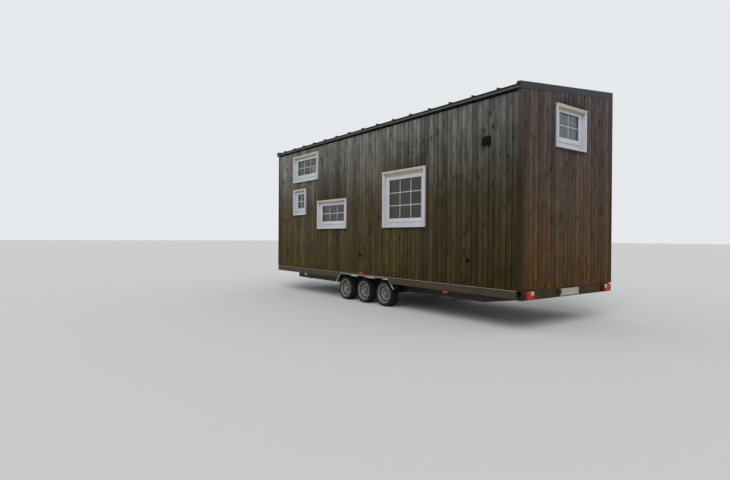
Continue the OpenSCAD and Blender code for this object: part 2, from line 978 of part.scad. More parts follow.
module high_flashing() {
    color("#45474d") {
        along_x(front_x, body_l)
            roof_band(hw, hw + flash_t, 0, stack_h + sheet_t);
        along_x(front_x + flash_in, body_l - 2 * flash_in)
            polygon([
                [hw - flash_in, lift_z(hw - flash_in) + stack_h],
                [hw, top_z(hw) + stack_h],
                [hw, top_z(hw) + stack_h + sheet_t],
                [hw - flash_in, top_z(hw - flash_in) + stack_h + sheet_t]
            ]);
    }
}

// Verge flashing: an upright face and a closed cover that stands on the sheet.
module verge_flashing() {
    along_x(rear_x, flash_t)
        roof_band(-hw - eave_out, hw, 0, stack_h + sheet_t);
    along_x(rear_x - flash_in, flash_in)
        roof_band(-hw - eave_out, hw, deck_t + sheet_t, stack_h + sheet_t);
}

module verge_flashings() {
    color("#3e4046") {
        verge_flashing();
        translate([rear_x + front_x, 0, 0])
            mirror([1, 0, 0])
                verge_flashing();
    }
}

module corner_board(high) {
    translate([rear_x, -hw, deck_z + trim_foot])
        linear_extrude(high - trim_head - deck_z - trim_foot)
            polygon([
                [-trim_w, 0],
                [-trim_w, -trim_t],
                [trim_t, -trim_t],
                [trim_t, trim_end],
                [0, trim_end],
                [0, 0]
            ]);
}

module corner_boards() {
    color("#3a3833")
        for (m = [0, 1])
            translate([m * (rear_x + front_x), 0, 0])
                mirror([m, 0, 0]) {
                    corner_board(top_z(-hw));
                    mirror([0, 1, 0])
                        corner_board(top_z(hw - trim_end));
                }
}

// Windows: casing boards with a drip cap, fixed frame, sash with bars, glass.
module window_casing(w) {
    x0 = -w[0] - w[2] / 2;
    x1 = -w[0] + w[2] / 2;
    z0 = w[1];
    z1 = w[1] + w[3];
    c = casing_t;
    difference() {
        box(x0, x1, -casing_out, wall_t, z0, z1);
        box(x0 + c, x1 - c, -casing_out - cut, wall_t + cut, z0 + c, z1 - c);
    }
    box(x0 - cap_side, x1 + cap_side, -cap_out, 0, z1, z1 + cap_t);
}

// Opening of the fixed frame as [x0, x1, z0, z1].
function frame_hole(w) = [
    -w[0] - w[2] / 2 + casing_t + frame_w,
    -w[0] + w[2] / 2 - casing_t - frame_w,
    w[1] + casing_t + frame_w + rail_extra,
    w[1] + w[3] - casing_t - frame_w + head_cut - w[6]
];

// Opening of the sash as [x0, x1, z0, z1].
function sash_hole(w) = [
    frame_hole(w)[0] + stile_w,
    frame_hole(w)[1] - stile_w,
    frame_hole(w)[2] + stile_w + rail_extra,
    frame_hole(w)[3] - stile_w + rail_cut - w[6]
];

module window_sash(w) {
    c = casing_t;
    f = frame_hole(w);
    g = sash_hole(w);
    face = glass_in - rebate;
    x0 = -w[0] - w[2] / 2 + c;
    x1 = -w[0] + w[2] / 2 - c;
    difference() {
        union() {
            box(x0, x1, face, face + frame_d, w[1] + c, w[1] + w[3] - c);
            box(f[0], f[1], face - sash_out, face, f[2], f[3]);
        }
        box(g[0], g[1], face - sash_out - cut, face + frame_d + cut, g[2], g[3]);
    }
    for (i = [1 : w[4] - 1]) {
        bx = g[0] + (g[1] - g[0]) * i / w[4];
        box(bx - bar_w / 2, bx + bar_w / 2, glass_in - bar_t, glass_in, g[2], g[3]);
    }
    for (j = [1 : w[5] - 1]) {
        bz = g[2] + (g[3] - g[2]) * j / w[5];
        box(g[0], g[1], glass_in - bar_t, glass_in, bz - bar_w / 2, bz + bar_w / 2);
    }
}

module window_glass(w) {
    g = sash_hole(w);
    box(g[0], g[1], glass_in, glass_in + glass_t, g[2], g[3]);
}

module left_casings() {
    color("#e9e9e6")
        on_left()
            for (w = left_wins)
                window_casing(w);
}

module left_sashes() {
    color("#f2f3f3")
        on_left()
            for (w = left_wins)
                window_sash(w);
}

module left_glass() {
    color("#7d8b98")
        on_left()
            for (w = left_wins)
                window_glass(w);
}

module right_casings() {
    color("#e9e9e6")
        on_right()
            for (w = right_wins)
                window_casing(w);
}

module right_sashes() {
    color("#f2f3f3")
        on_right()
            for (w = right_wins)
                window_sash(w);
}

module right_glass() {
    color("#7d8b98")
        on_right()
            for (w = right_wins)
                window_glass(w);
}

module end_casings() {
    color("#e9e9e6") {
        on_rear()
            window_casing(rear_win);
        on_front()
            window_casing(front_win);
    }
}

module end_sashes() {
    color("#f2f3f3") {
        on_rear()
            window_sash(rear_win);
        on_front()
            window_sash(front_win);
    }
}

module end_glass() {
    color("#7d8b98") {
        on_rear()
            window_glass(rear_win);
        on_front()
            window_glass(front_win);
    }
}

// Door: frame, leaf and glass. The leaf fills the frame's opening.
door_x0 = -door_s - door_w / 2;
door_x1 = -door_s + door_w / 2;
leaf_x0 = door_x0 + door_case;
leaf_x1 = door_x1 - door_case;
leaf_z0 = floor_z + door_foot;
leaf_z1 = floor_z + door_h - door_case;
light_x0 = leaf_x0 + door_stile;
light_x1 = leaf_x1 - door_stile;
light_z0 = leaf_z0 + panel_h;
light_z1 = leaf_z1 - door_stile;

module door_frame() {
    top = floor_z + door_h;
    color("#e9e9e6")
        on_right() {
            difference() {
                box(door_x0, door_x1, -casing_out, wall_t, floor_z, top);
                box(leaf_x0, leaf_x1, -casing_out - cut, wall_t + cut, leaf_z0, leaf_z1);
            }
            box(door_x0 - cap_side, door_x1 + cap_side, -door_cap_out, 0, top, top + cap_t);
        }
}

module door_leaf() {
    face = glass_in - bar_t;
    hx = leaf_x0 + handle_in;
    hz = leaf_z0 + handle_z;
    middle = (leaf_x0 + leaf_x1) / 2;
    field_x = door_stile + field_in;
    color("#f2f3f3")
        on_right() {
            difference() {
                box(leaf_x0, leaf_x1, leaf_in, leaf_in + leaf_t, leaf_z0, leaf_z1);
                box(light_x0, light_x1, leaf_in - cut, leaf_in + leaf_t + cut, light_z0, light_z1);
            }
            box(
                leaf_x0 + field_x, leaf_x1 - field_x, leaf_in - field_out, leaf_in,
                leaf_z0 + field_x, light_z0 - door_stile
            );
            translate([hx, leaf_in, hz])
                rotate([90, 0, 0])
                    cylinder(d = spindle_d, h = lever_gap + lever_t / 2);
            box(
                hx - lever_h / 2, hx + lever_l, leaf_in - lever_gap - lever_t, leaf_in - lever_gap,
                hz - lever_h / 2, hz + lever_h / 2
            );
            box(middle - bar_w / 2, middle + bar_w / 2, face, glass_in, light_z0, light_z1);
            for (j = [1 : door_rows - 1]) {
                bz = light_z0 + (light_z1 - light_z0) * j / door_rows;
                box(light_x0, light_x1, face, glass_in, bz - bar_w / 2, bz + bar_w / 2);
            }
        }
}

module door_glass() {
    color("#7d8b98")
        on_right()
            box(light_x0, light_x1, glass_in, glass_in + glass_t, light_z0, light_z1);
}

// Air cowl, open to below, and small round inlets.
module air_cowl() {
    side = cowl_w / 2 - cowl_t;
    color("#1d1e1f")
        on_left()
            translate([-cowl_s, 0, cowl_z])
                difference() {
                    rotate([90, 0, 90])
                        translate([0, 0, -cowl_w / 2])
                            linear_extrude(cowl_w)
                                polygon([
                                    [0, 0],
                                    [-cowl_out, 0],
                                    [-cowl_out, cowl_face],
                                    [-cowl_t * 2, cowl_w],
                                    [0, cowl_w]
                                ]);
                    box(-side, side, -cowl_out + cowl_t, -cowl_t, -cut, cowl_face - cowl_t);
                }
}

module inlet(s) {
    translate([-s, 0, inlet_z])
        rotate([90, 0, 0])
            difference() {
                cylinder(d = inlet_d, h = inlet_t);
                translate([0, 0, inlet_t - inlet_bowl])
                    cylinder(d = inlet_d - 2 * inlet_rim, h = inlet_bowl + cut);
            }
}

module wall_inlets() {
    color("#232425")
        on_left() {
            inlet(inlet_rear);
            inlet(inlet_mid);
            inlet(body_l - inlet_front);
        }
}

// Wheels. Sections are [radius, height], with the outer side towards +z.
flange_h = 15;
bead_r = rim_d / 2 - flange_h;
half_t = tyre_w / 2;
tread_r = tyre_d / 2;
side_h = tread_r - bead_r;
flange_r = bead_r + flange_h - 1;

// Outer skin of the tyre from the bead to the middle of the tread.
tyre_skin = concat(
    [[bead_r, half_t * 0.5], [bead_r, half_t * 0.66], [bead_r + 7, half_t * 0.78]],
    [[flange_r + 4, half_t * 0.8], [flange_r + 7, half_t * 0.93]],
    bend(
        [flange_r + 7, half_t * 0.93], [bead_r + side_h * 0.55, half_t * 1.06],
        [tread_r - side_h * 0.28, half_t * 0.95], 5
    ),
    bend(
        [tread_r - side_h * 0.28, half_t * 0.95], [tread_r - side_h * 0.08, half_t * 0.87],
        [tread_r - side_h * 0.03, half_t * 0.68], 4
    ),
    [[tread_r, half_t * 0.4]]
);

// Inner skin of the tyre, on the outer side only.
tyre_hollow = [
    [tread_r - 14, half_t * 0.5], [tread_r - side_h * 0.26, half_t * 0.78],
    [tread_r - side_h * 0.5, half_t * 0.82], [flange_r + 9, half_t * 0.74], [bead_r + 10, half_t * 0.5]
];

module tyre_ring() {
    rotate_extrude($fn = 96)
        polygon(concat(tyre_skin, mirrored(tyre_skin), mirrored(tyre_hollow), tyre_hollow));
}

seat_r = bead_r - bead_gap;

// Rolled rim: flanges, bead seats and well.
rim_t = 5;
well_r = seat_r - 18;
lip_r = seat_r + flange_h - 1;
rim_barrel = [
    [lip_r - 1, half_t * 0.9], [lip_r, half_t * 0.87], [lip_r - 1, half_t * 0.82],
    [seat_r + rim_t / 2, half_t * 0.8], [seat_r, half_t * 0.74], [seat_r, half_t * 0.5],
    [well_r, half_t * 0.36], [well_r, -half_t * 0.36], [seat_r, -half_t * 0.5],
    [seat_r, -half_t * 0.74], [seat_r + rim_t / 2, -half_t * 0.8], [lip_r, -half_t * 0.82],
    [lip_r, -half_t * 0.9], [seat_r - rim_t, -half_t * 0.86], [seat_r - rim_t, -half_t * 0.56],
    [well_r - rim_t, -half_t * 0.42], [well_r - rim_t, half_t * 0.42],
    [seat_r - rim_t, half_t * 0.56], [seat_r - rim_t, half_t * 0.85]
];

// Dished wheel centre with its hub, closed over the stub.
// The crown stands between the well and the level plate that the bolts hold;
// the drum behind it covers the axle's backing plate.
hub_bore = stub_d / 2 + stub_play / 2;
weld_r = well_r - 2;
crown_out = well_r - 27;
crown_in = crown_out - 23;
crown_r = (crown_out + crown_in) / 2;
level_r = bolt_circle / 2 + bolt_d;
drum_r = drum_d / 2 + 9;
cap_r = 34;
rim_dish = concat(
    [[weld_r, half_t * 0.1]],
    bend([weld_r, half_t * 0.1], [weld_r - 7, half_t * 0.42], [crown_out, half_t * 0.47], 4),
    bend([crown_out, half_t * 0.47], [crown_r, half_t * 0.5], [crown_in, half_t * 0.44], 3),
    bend([crown_in, half_t * 0.44], [crown_in - 16, half_t * 0.22], [level_r, half_t * 0.22], 3),
    [[cap_r + 12, half_t * 0.22], [cap_r + 4, half_t * 0.3], [cap_r, half_t * 0.32]],
    [[cap_r, half_t * 0.54], [cap_r - 5, half_t * 0.6], [0, half_t * 0.6], [0, half_t * 0.5]],
    [[hub_bore, half_t * 0.5], [hub_bore, -half_t * 0.72], [drum_r - 4, -half_t * 0.72]],
    [[drum_r, -half_t * 0.66], [drum_r, half_t * 0.02], [level_r, half_t * 0.12]],
    [[crown_in, half_t * 0.34], [crown_out - 3, half_t * 0.36], [crown_out + 9, half_t * 0.22]],
    [[weld_r - 2, -half_t * 0.02]]
);

module rim_wheel() {
    difference() {
        rotate_extrude($fn = 96)
            union() {
                polygon(rim_barrel);
                polygon(rim_dish);
            }
        for (i = [0 : hole_n - 1])
            rotate([0, 0, i * 360 / hole_n])
                translate([crown_out - rim_t, 0, -half_t * 0.1])
                    cylinder(d = hole_d, h = half_t);
    }
    for (i = [0 : bolt_n - 1])
        rotate([0, 0, (i + 0.25) * 360 / bolt_n])
            translate([bolt_circle / 2, 0, half_t * 0.18])
                cylinder(d = bolt_d, h = half_t * 0.22, $fn = 6);
}

module at_left(k) {
    translate([axle_x + k * axle_gap, chassis_y - wheel_y, hub_z])
        rotate([90, 0, 0])
            children();
}

module at_right(k) {
    translate([axle_x + k * axle_gap, chassis_y + wheel_y, hub_z])
        rotate([-90, 0, 0])
            children();
}

module rim_colour() {
    color("#b9bcc0")
        children();
}

module tyre_colour() {
    color("#1c1c1d")
        children();
}

module left_front_rim() {
    rim_colour() at_left(-1) rim_wheel();
}

module left_middle_rim() {
    rim_colour() at_left(0) rim_wheel();
}

module left_rear_rim() {
    rim_colour() at_left(1) rim_wheel();
}

module right_front_rim() {
    rim_colour() at_right(-1) rim_wheel();
}

module right_middle_rim() {
    rim_colour() at_right(0) rim_wheel();
}

module right_rear_rim() {
    rim_colour() at_right(1) rim_wheel();
}

module left_front_tyre() {
    tyre_colour() at_left(-1) tyre_ring();
}

module left_middle_tyre() {
    tyre_colour() at_left(0) tyre_ring();
}

module left_rear_tyre() {
    tyre_colour() at_left(1) tyre_ring();
}

module right_front_tyre() {
    tyre_colour() at_right(-1) tyre_ring();
}

module right_middle_tyre() {
    tyre_colour() at_right(0) tyre_ring();
}

module right_rear_tyre() {
    tyre_colour() at_right(1) tyre_ring();
}

main_beams();
cross_members();
side_rails();
rear_bumper();
drawbar();
coupling_head();
jockey_wheel();
front_axle();
middle_axle();
rear_axle();
left_mudguard();
right_mudguard();
tail_lamps();
number_plate();
plate_lamp();
amber_markers();
clear_markers();
floor_deck();
left_wall();
right_wall();
rear_wall();
front_wall();
loft_floors();
roof_deck();
roof_sheet();
eave_fascia();
eave_vent();
high_flashing();
verge_flashings();
corner_boards();
left_casings();
left_sashes();
left_glass();
right_casings();
right_sashes();
right_glass();
end_casings();
end_sashes();
end_glass();
door_frame();
door_leaf();
door_glass();
air_cowl();
wall_inlets();
left_front_rim();
left_middle_rim();
left_rear_rim();
right_front_rim();
right_middle_rim();
right_rear_rim();
left_front_tyre();
left_middle_tyre();
left_rear_tyre();
right_front_tyre();
right_middle_tyre();
right_rear_tyre();
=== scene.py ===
"""Dresses the small timber house on its three-axle trailer.

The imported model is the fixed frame. Each class below builds one sub-assembly in the frame's
own metres: boards and wall cores, windows and door, roof, chassis, wheels, lamps and fittings.
X runs from the drawbar to the rear wall, Y to the high side of the roof, and Z up.
"""

import logging
import math
import random
from dataclasses import dataclass, field
from enum import Enum, IntEnum
from typing import ClassVar

import bmesh
import bpy
from mathutils import Matrix, Vector


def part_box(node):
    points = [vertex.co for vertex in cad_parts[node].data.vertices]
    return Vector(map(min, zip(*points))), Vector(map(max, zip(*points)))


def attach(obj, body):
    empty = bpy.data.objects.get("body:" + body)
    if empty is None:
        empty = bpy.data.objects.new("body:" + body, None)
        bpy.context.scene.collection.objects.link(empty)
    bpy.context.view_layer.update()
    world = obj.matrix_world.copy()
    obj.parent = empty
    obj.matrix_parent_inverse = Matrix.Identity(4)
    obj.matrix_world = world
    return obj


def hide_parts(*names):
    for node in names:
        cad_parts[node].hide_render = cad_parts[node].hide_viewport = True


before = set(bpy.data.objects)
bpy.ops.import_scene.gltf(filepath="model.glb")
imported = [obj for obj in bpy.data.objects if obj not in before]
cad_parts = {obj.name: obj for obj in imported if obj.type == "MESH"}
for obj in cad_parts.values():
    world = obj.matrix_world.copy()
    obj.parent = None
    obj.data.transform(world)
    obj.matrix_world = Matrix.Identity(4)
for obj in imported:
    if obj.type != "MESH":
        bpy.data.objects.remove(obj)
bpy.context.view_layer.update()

log = logging.getLogger("house")

Tree = bpy.types.NodeTree
Node = bpy.types.Node
Socket = bpy.types.NodeSocket
Sockets = bpy.types.bpy_prop_collection
Piece = bpy.types.Object
Point = tuple[float, float, float]
Pair = tuple[float, float]
# Left, right, foot and top of a rectangle on a wall.
Border = tuple[float, float, float, float]

HAIR = 1e-4
WELD = 1e-5
FLAT_ANGLE = math.radians(1)
SMOOTH_ANGLE = math.radians(32)
EASED_ANGLE = math.radians(40)
# The range that nearly all of a noise pattern lies in, and the part of it that holds dirt.
NOISE_LOW, NOISE_HIGH = 0.3, 0.7
DIRT_LOW, DIRT_HIGH = 0.48, 0.75
HOUSE = "house"


def linear(colour: str) -> tuple[float, float, float, float]:
    """Turns an sRGB hex value into linear colour.

    Args:
        colour: the value, such as "#4a4a48".

    Returns:
        Red, green, blue and a full alpha, all linear.
    """
    channels = [int(colour[i : i + 2], 16) / 255 for i in (1, 3, 5)]
    red, green, blue = (c / 12.92 if c <= 0.04045 else ((c + 0.055) / 1.055) ** 2.4 for c in channels)
    return red, green, blue, 1.0


def add_node(
    tree: Tree, kind: str, inputs: dict | None = None, stops: tuple = (), **settings: object
) -> Node:
    """Adds a node with its settings, values and links.

    Args:
        tree: the node tree that gets it.
        kind: the node's type, without the word ShaderNode before it.
        inputs: input name or number to a socket to link or a value to set.
        stops: places and colours of a colour ramp.
        settings: attributes of the node, such as its operation.

    Returns:
        The new node.
    """
    node = tree.nodes.new("ShaderNode" + kind)
    for name, value in settings.items():
        setattr(node, name, value)
    for key, value in (inputs or {}).items():
        if isinstance(value, Socket):
            tree.links.new(value, node.inputs[key])
        else:
            node.inputs[key].default_value = value
    for number, (place, colour) in enumerate(stops):
        elements = node.color_ramp.elements
        element = elements[number] if number < 2 else elements.new(place)
        element.position = place
        element.color = linear(colour)
    return node


class Side(Enum):
    """The four walls of the house."""

    LEFT = "left"
    RIGHT = "right"
    REAR = "rear"
    FRONT = "front"

    @property
    def along(self) -> int:
        """The axis that runs along the wall: 0 for X, 1 for Y."""
        return 0 if self in (Side.LEFT, Side.RIGHT) else 1


@dataclass(frozen=True)
class Body:
    """Main sizes of the timber body, in metres."""

    rear_x: float
    front_x: float
    half_w: float
    deck_z: float
    eave_z: float
    slope: float
    wall_t: float
    chassis_y: float
    board_t: float = 0.020

    @classmethod
    def from_frame(cls) -> "Body":
        """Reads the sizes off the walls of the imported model.

        Returns:
            The sizes of the body.
        """
        rear_low, rear_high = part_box("rear_wall")
        front_low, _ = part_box("front_wall")
        _, left_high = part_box("left_wall")
        wall_t = rear_high.x - rear_low.x
        width = rear_high.y - rear_low.y
        slope = (rear_high.z - left_high.z) / (width - wall_t)
        beams_low, beams_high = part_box("main_beams")
        return cls(
            rear_x=rear_high.x, front_x=front_low.x, half_w=rear_high.y, deck_z=rear_low.z,
            eave_z=rear_high.z - width * slope, slope=slope, wall_t=wall_t,
            chassis_y=(beams_low.y + beams_high.y) / 2,
        )

    @property
    def length(self) -> float:
        """Length between the outer faces of the end walls."""
        return self.rear_x - self.front_x

    def top(self, y: float) -> float:
        """Height of the wall top at a place across the body."""
        return self.eave_z + (y + self.half_w) * self.slope

    def place(self, side: Side) -> Matrix:
        """The move that takes a piece drawn for a wall to that wall.

        A piece is drawn with x along the wall, y inwards from the boards' outer face and z up.

        Args:
            side: the wall.

        Returns:
            The move, which mirrors the piece on the right wall.
        """
        if side is Side.LEFT:
            return Matrix.Translation((self.rear_x, -self.half_w, 0))
        if side is Side.RIGHT:
            mirror = Matrix.Scale(-1, 4, (0, 1, 0))
            return Matrix.Translation((self.rear_x, self.half_w, 0)) @ mirror
        turn = Matrix.Rotation(math.radians(90 if side is Side.REAR else -90), 4, "Z")
        return Matrix.Translation((self.rear_x if side is Side.REAR else self.front_x, 0, 0)) @ turn


class Finish:
    """A procedural surface, built once as a material."""

    made: ClassVar[dict[str, bpy.types.Material]] = {}
    name: str

    def material(self) -> bpy.types.Material:
        """Gives the material of this finish, making it on the first call.

        Returns:
            The material.
        """
        if self.name not in Finish.made:
            material = bpy.data.materials.new(self.name)
            material.use_nodes = True
            tree = material.node_tree
            tree.nodes.clear()
            shader = add_node(tree, "BsdfPrincipled", self.paint(tree))
            add_node(tree, "OutputMaterial", {"Surface": self.surface(tree, shader)})
            Finish.made[self.name] = material
        return Finish.made[self.name]

    def surface(self, tree: Tree, shader: Node) -> Socket:
        """The socket that goes to the output, the plain shader unless a finish says otherwise."""
        return shader.outputs[0]

    def paint(self, tree: Tree) -> dict[str, object]:
        """Gives the shader's inputs. Each finish has its own."""
        raise NotImplementedError


@dataclass(frozen=True)
class StainedSpruce(Finish):
    """Planed spruce boards under a dark see-through stain.

    The stain leaves a matt, streaky grey that turns olive brown towards the foot and paler grey towards
    the head. The pale head is partly a painted sky sheen, and the brown foot is partly a painted warm
    reflection of the ground. Each board has its own tone, and the knots show through as dark spots.
    """

    name: str
    axis: int
    start: float
    pitch: float
    low_z: float
    high_z: float
    # Foot, middle and head tones: partly the stain's own, partly a painted sky sheen at the head and a
    # painted ground reflection at the foot.
    foot: str = "#3d3009"
    middle: str = "#474029"
    head: str = "#787774"
    warm: str = "#4a3020"
    warmth: float = 0.13
    knot: str = "#120c07"
    # How much lighter the side walls turn towards their front end, and the places along the wall between
    # which they do.
    lengthwise_tone: float = 0.0
    lengthwise_between: Pair = (-3.0, 4.2)
    streak_mm: float = 16.0
    blotch_mm: float = 90.0
    knot_mm: float = 34.0
    knot_room: float = 0.28
    knot_squash: float = 0.55
    knot_least: float = 0.45
    knot_depth: float = 0.8
    jump: float = 7.31
    gloss: float = 0.16

    def paint(self, tree: Tree) -> dict[str, object]:
        """Links tone, streaks and knots to colour, roughness and bump.

        Args:
            tree: the node tree.

        Returns:
            The shader's inputs.
        """
        place = add_node(tree, "TexCoord").outputs["Object"]
        axes = add_node(tree, "SeparateXYZ", {0: place}).outputs
        counted = add_node(
            tree, "Math", {0: axes[self.axis], 1: 1 / self.pitch, 2: -self.start / self.pitch},
            operation="MULTIPLY_ADD",
        )
        board = add_node(tree, "Math", {0: counted.outputs[0]}, operation="FLOOR").outputs[0]
        dice = add_node(tree, "TexWhiteNoise", {"W": board}, noise_dimensions="1D")
        tint = add_node(tree, "SeparateColor", {0: dice.outputs["Color"]}).outputs
        slide = add_node(tree, "Math", {0: board, 1: self.jump}, operation="MULTIPLY").outputs[0]
        shift = add_node(tree, "CombineXYZ", {2: slide}).outputs[0]
        fine, patch = 1000 / self.streak_mm, 1000 / self.blotch_mm
        streak = self.grain(tree, place, shift, (fine, fine, 0.9), 5)
        band = self.grain(tree, place, shift, (fine / 4, fine / 4, 0.3), 2)
        blotch = self.grain(tree, place, shift, (patch, patch, patch * 0.35), 4)
        knots = self.knots(tree, axes, slide)
        # Source, its range, and how much darker and lighter it makes the stain.
        ramps = (
            (tint[1], 0.0, 1.0, 0.68, 1.36), (streak, 0.30, 0.70, 0.60, 1.42),
            (band, 0.28, 0.72, 0.80, 1.22), (blotch, 0.34, 0.60, 0.60, 1.14),
            # Along the wall: lighter towards its front end.
            (axes[self.axis], *self.lengthwise_between, 1.0 + self.lengthwise_tone, 1.0 - self.lengthwise_tone),
        )
        value = None
        for source, start, end, low, high in ramps:
            part = add_node(tree, "MapRange", {0: source, 1: start, 2: end, 3: low, 4: high}).outputs[0]
            if value is not None:
                part = add_node(tree, "Math", {0: value, 1: part}, operation="MULTIPLY").outputs[0]
            value = part
        stain = self.stain(tree, axes[2], tint[0])
        toned = add_node(tree, "HueSaturation", {"Value": value, "Color": stain}).outputs[0]
        held = add_node(tree, "Math", {0: knots, 1: self.knot_depth}, operation="MULTIPLY").outputs[0]
        colour = add_node(
            tree, "Mix", {0: held, 6: toned, 7: linear(self.knot)}, data_type="RGBA"
        ).outputs[2]
        rough = add_node(tree, "MapRange", {0: streak, 1: 0.2, 2: 0.8, 3: 0.55, 4: 0.72})
        relief = add_node(tree, "Math", {0: streak, 1: knots}, operation="SUBTRACT")
        bump = add_node(tree, "Bump", {"Height": relief.outputs[0], "Strength": 0.45, "Distance": 0.0012})
        return {
            "Base Color": colour, "Roughness": rough.outputs[0], "Normal": bump.outputs[0],
            "Specular IOR Level": self.gloss,
        }

    def knots(self, tree: Tree, axes: Sockets, slide: Socket) -> Socket:
        """Scatters knots, stretched up the board, over about half of the places for one.

        Args:
            tree: the node tree.
            axes: the object coordinates, one by one.
            slide: how far this board's pattern is moved.

        Returns:
            One in a knot and nought beside it.
        """
        around = 1000 / self.knot_mm * self.knot_room
        across = add_node(tree, "Math", {0: axes[self.axis], 1: around}, operation="MULTIPLY").outputs[0]
        up = add_node(
            tree, "Math", {0: axes[2], 1: around * self.knot_squash}, operation="MULTIPLY"
        ).outputs[0]
        spot = add_node(tree, "CombineXYZ", {0: across, 1: slide, 2: up}).outputs[0]
        cells = add_node(tree, "TexVoronoi", {"Vector": spot, "Scale": 1.0})
        dark = add_node(
            tree, "MapRange", {0: cells.outputs["Distance"], 1: 0.07, 2: 0.30, 3: 1.0, 4: 0.0},
            interpolation_type="SMOOTHSTEP",
        ).outputs[0]
        dice = add_node(tree, "SeparateColor", {0: cells.outputs["Color"]}).outputs[0]
        chosen = add_node(tree, "Math", {0: dice, 1: self.knot_least}, operation="GREATER_THAN").outputs[0]
        return add_node(tree, "Math", {0: dark, 1: chosen}, operation="MULTIPLY").outputs[0]

    def stain(self, tree: Tree, height: Socket, dice: Socket) -> Socket:
        """Lets the tone fall from head to foot, warmer on some boards: partly the stain's own tone, partly
        a painted sky sheen at the head and a painted warm ground reflection at the foot.

        Args:
            tree: the node tree.
            height: the height of the place.
            dice: the board's own random number.

        Returns:
            The colour.
        """
        fall = add_node(tree, "MapRange", {0: height, 1: self.low_z, 2: self.high_z}).outputs[0]
        toned = add_node(
            tree, "ValToRGB", {0: fall}, stops=((0.0, self.foot), (1.0, self.head), (0.5, self.middle))
        ).outputs[0]
        rosy = add_node(
            tree, "MapRange", {0: dice, 1: 0.35, 2: 0.95, 3: 0.0, 4: self.warmth},
            interpolation_type="SMOOTHSTEP",
        ).outputs[0]
        return add_node(tree, "Mix", {0: rosy, 6: toned, 7: linear(self.warm)}, data_type="RGBA").outputs[2]

    @staticmethod
    def grain(tree: Tree, place: Socket, shift: Socket, scale: Point, detail: float) -> Socket:
        """Long streaks that start anew on each board.

        Args:
            tree: the node tree.
            place: the object coordinates.
            shift: how far this board's pattern is moved.
            scale: streaks per metre along each axis.
            detail: octaves of the noise.

        Returns:
            The streaks, from 0 to 1.
        """
        moved = add_node(
            tree, "VectorMath", {0: place, 1: scale, 2: shift}, operation="MULTIPLY_ADD"
        ).outputs[0]
        noise = add_node(
            tree, "TexNoise", {"Vector": moved, "Scale": 1.0, "Detail": detail, "Roughness": 0.6}
        )
        return noise.outputs["Fac"]


@dataclass(frozen=True)
class Coating(Finish):
    """A coat or skin with soft clouding, fine grain and settled dirt.

    Colour, clouding, roughness and bump take their scales from real sizes in millimetres.
    """

    name: str
    colour: str
    cloud: str
    dirt: str = "#5b5040"
    cloud_mm: float = 180.0
    grain_mm: float = 6.0
    dirt_share: float = 0.15
    dirt_fine: ClassVar[float] = 2.6
    metallic: float = 0.0
    roughness: float = 0.45
    spread: float = 0.12
    bump: float = 0.08
    coat: float = 0.0
    stretch: Point = (1.0, 1.0, 1.0)
    gloss: float = 0.5
    # Where a foot tone is given, the colour turns to it from head_z down to foot_z: a painted warm
    # reflection of the ground.
    foot: str = ""
    foot_z: float = 2.1
    head_z: float = 3.6

    def paint(self, tree: Tree) -> dict[str, object]:
        """Mixes the coat's two tones and its dirt, and roughens the surface.

        Args:
            tree: the node tree.

        Returns:
            The shader's inputs.
        """
        place = add_node(tree, "TexCoord").outputs["Object"]
        drawn = add_node(tree, "VectorMath", {0: place, 1: self.stretch}, operation="MULTIPLY").outputs[0]
        cloud = add_node(
            tree, "TexNoise",
            {"Vector": drawn, "Scale": 1000 / self.cloud_mm, "Detail": 4.0, "Roughness": 0.55},
        ).outputs["Fac"]
        grain = add_node(
            tree, "TexNoise",
            {"Vector": drawn, "Scale": 1000 / self.grain_mm, "Detail": 3.0, "Roughness": 0.6},
        ).outputs["Fac"]
        soft = add_node(tree, "MapRange", {0: cloud, 1: NOISE_LOW, 2: NOISE_HIGH}).outputs[0]
        toned = add_node(
            tree, "Mix", {0: soft, 6: linear(self.colour), 7: linear(self.cloud)}, data_type="RGBA"
        ).outputs[2]
        dirt_scale = 1000 * self.dirt_fine / self.cloud_mm
        spots = add_node(
            tree, "TexNoise", {"Vector": drawn, "Scale": dirt_scale, "Detail": 6.0, "Roughness": 0.7}
        ).outputs["Fac"]
        dirty = add_node(
            tree, "MapRange", {0: spots, 1: DIRT_LOW, 2: DIRT_HIGH, 3: 0.0, 4: self.dirt_share * 2}
        ).outputs[0]
        colour = add_node(
            tree, "Mix", {0: dirty, 6: toned, 7: linear(self.dirt)}, data_type="RGBA"
        ).outputs[2]
        # Painted warm reflection of the ground: the colour turns to the foot tone towards the bottom.
        if self.foot:
            height = add_node(tree, "SeparateXYZ", {0: place}).outputs[2]
            low = add_node(
                tree, "MapRange", {0: height, 1: self.foot_z, 2: self.head_z, 3: 1.0, 4: 0.0}
            ).outputs[0]
            colour = add_node(
                tree, "Mix", {0: low, 6: colour, 7: linear(self.foot)}, data_type="RGBA"
            ).outputs[2]
        smooth, coarse = self.roughness - self.spread, self.roughness + self.spread
        rough = add_node(
            tree, "MapRange", {0: cloud, 1: NOISE_LOW, 2: NOISE_HIGH, 3: smooth, 4: coarse}
        ).outputs[0]
        bump = add_node(tree, "Bump", {"Height": grain, "Strength": self.bump * 4, "Distance": 0.0005})
        return {
            "Base Color": colour, "Roughness": rough, "Normal": bump.outputs[0], "Metallic": self.metallic,
            "Coat Weight": self.coat, "Specular IOR Level": self.gloss,
        }


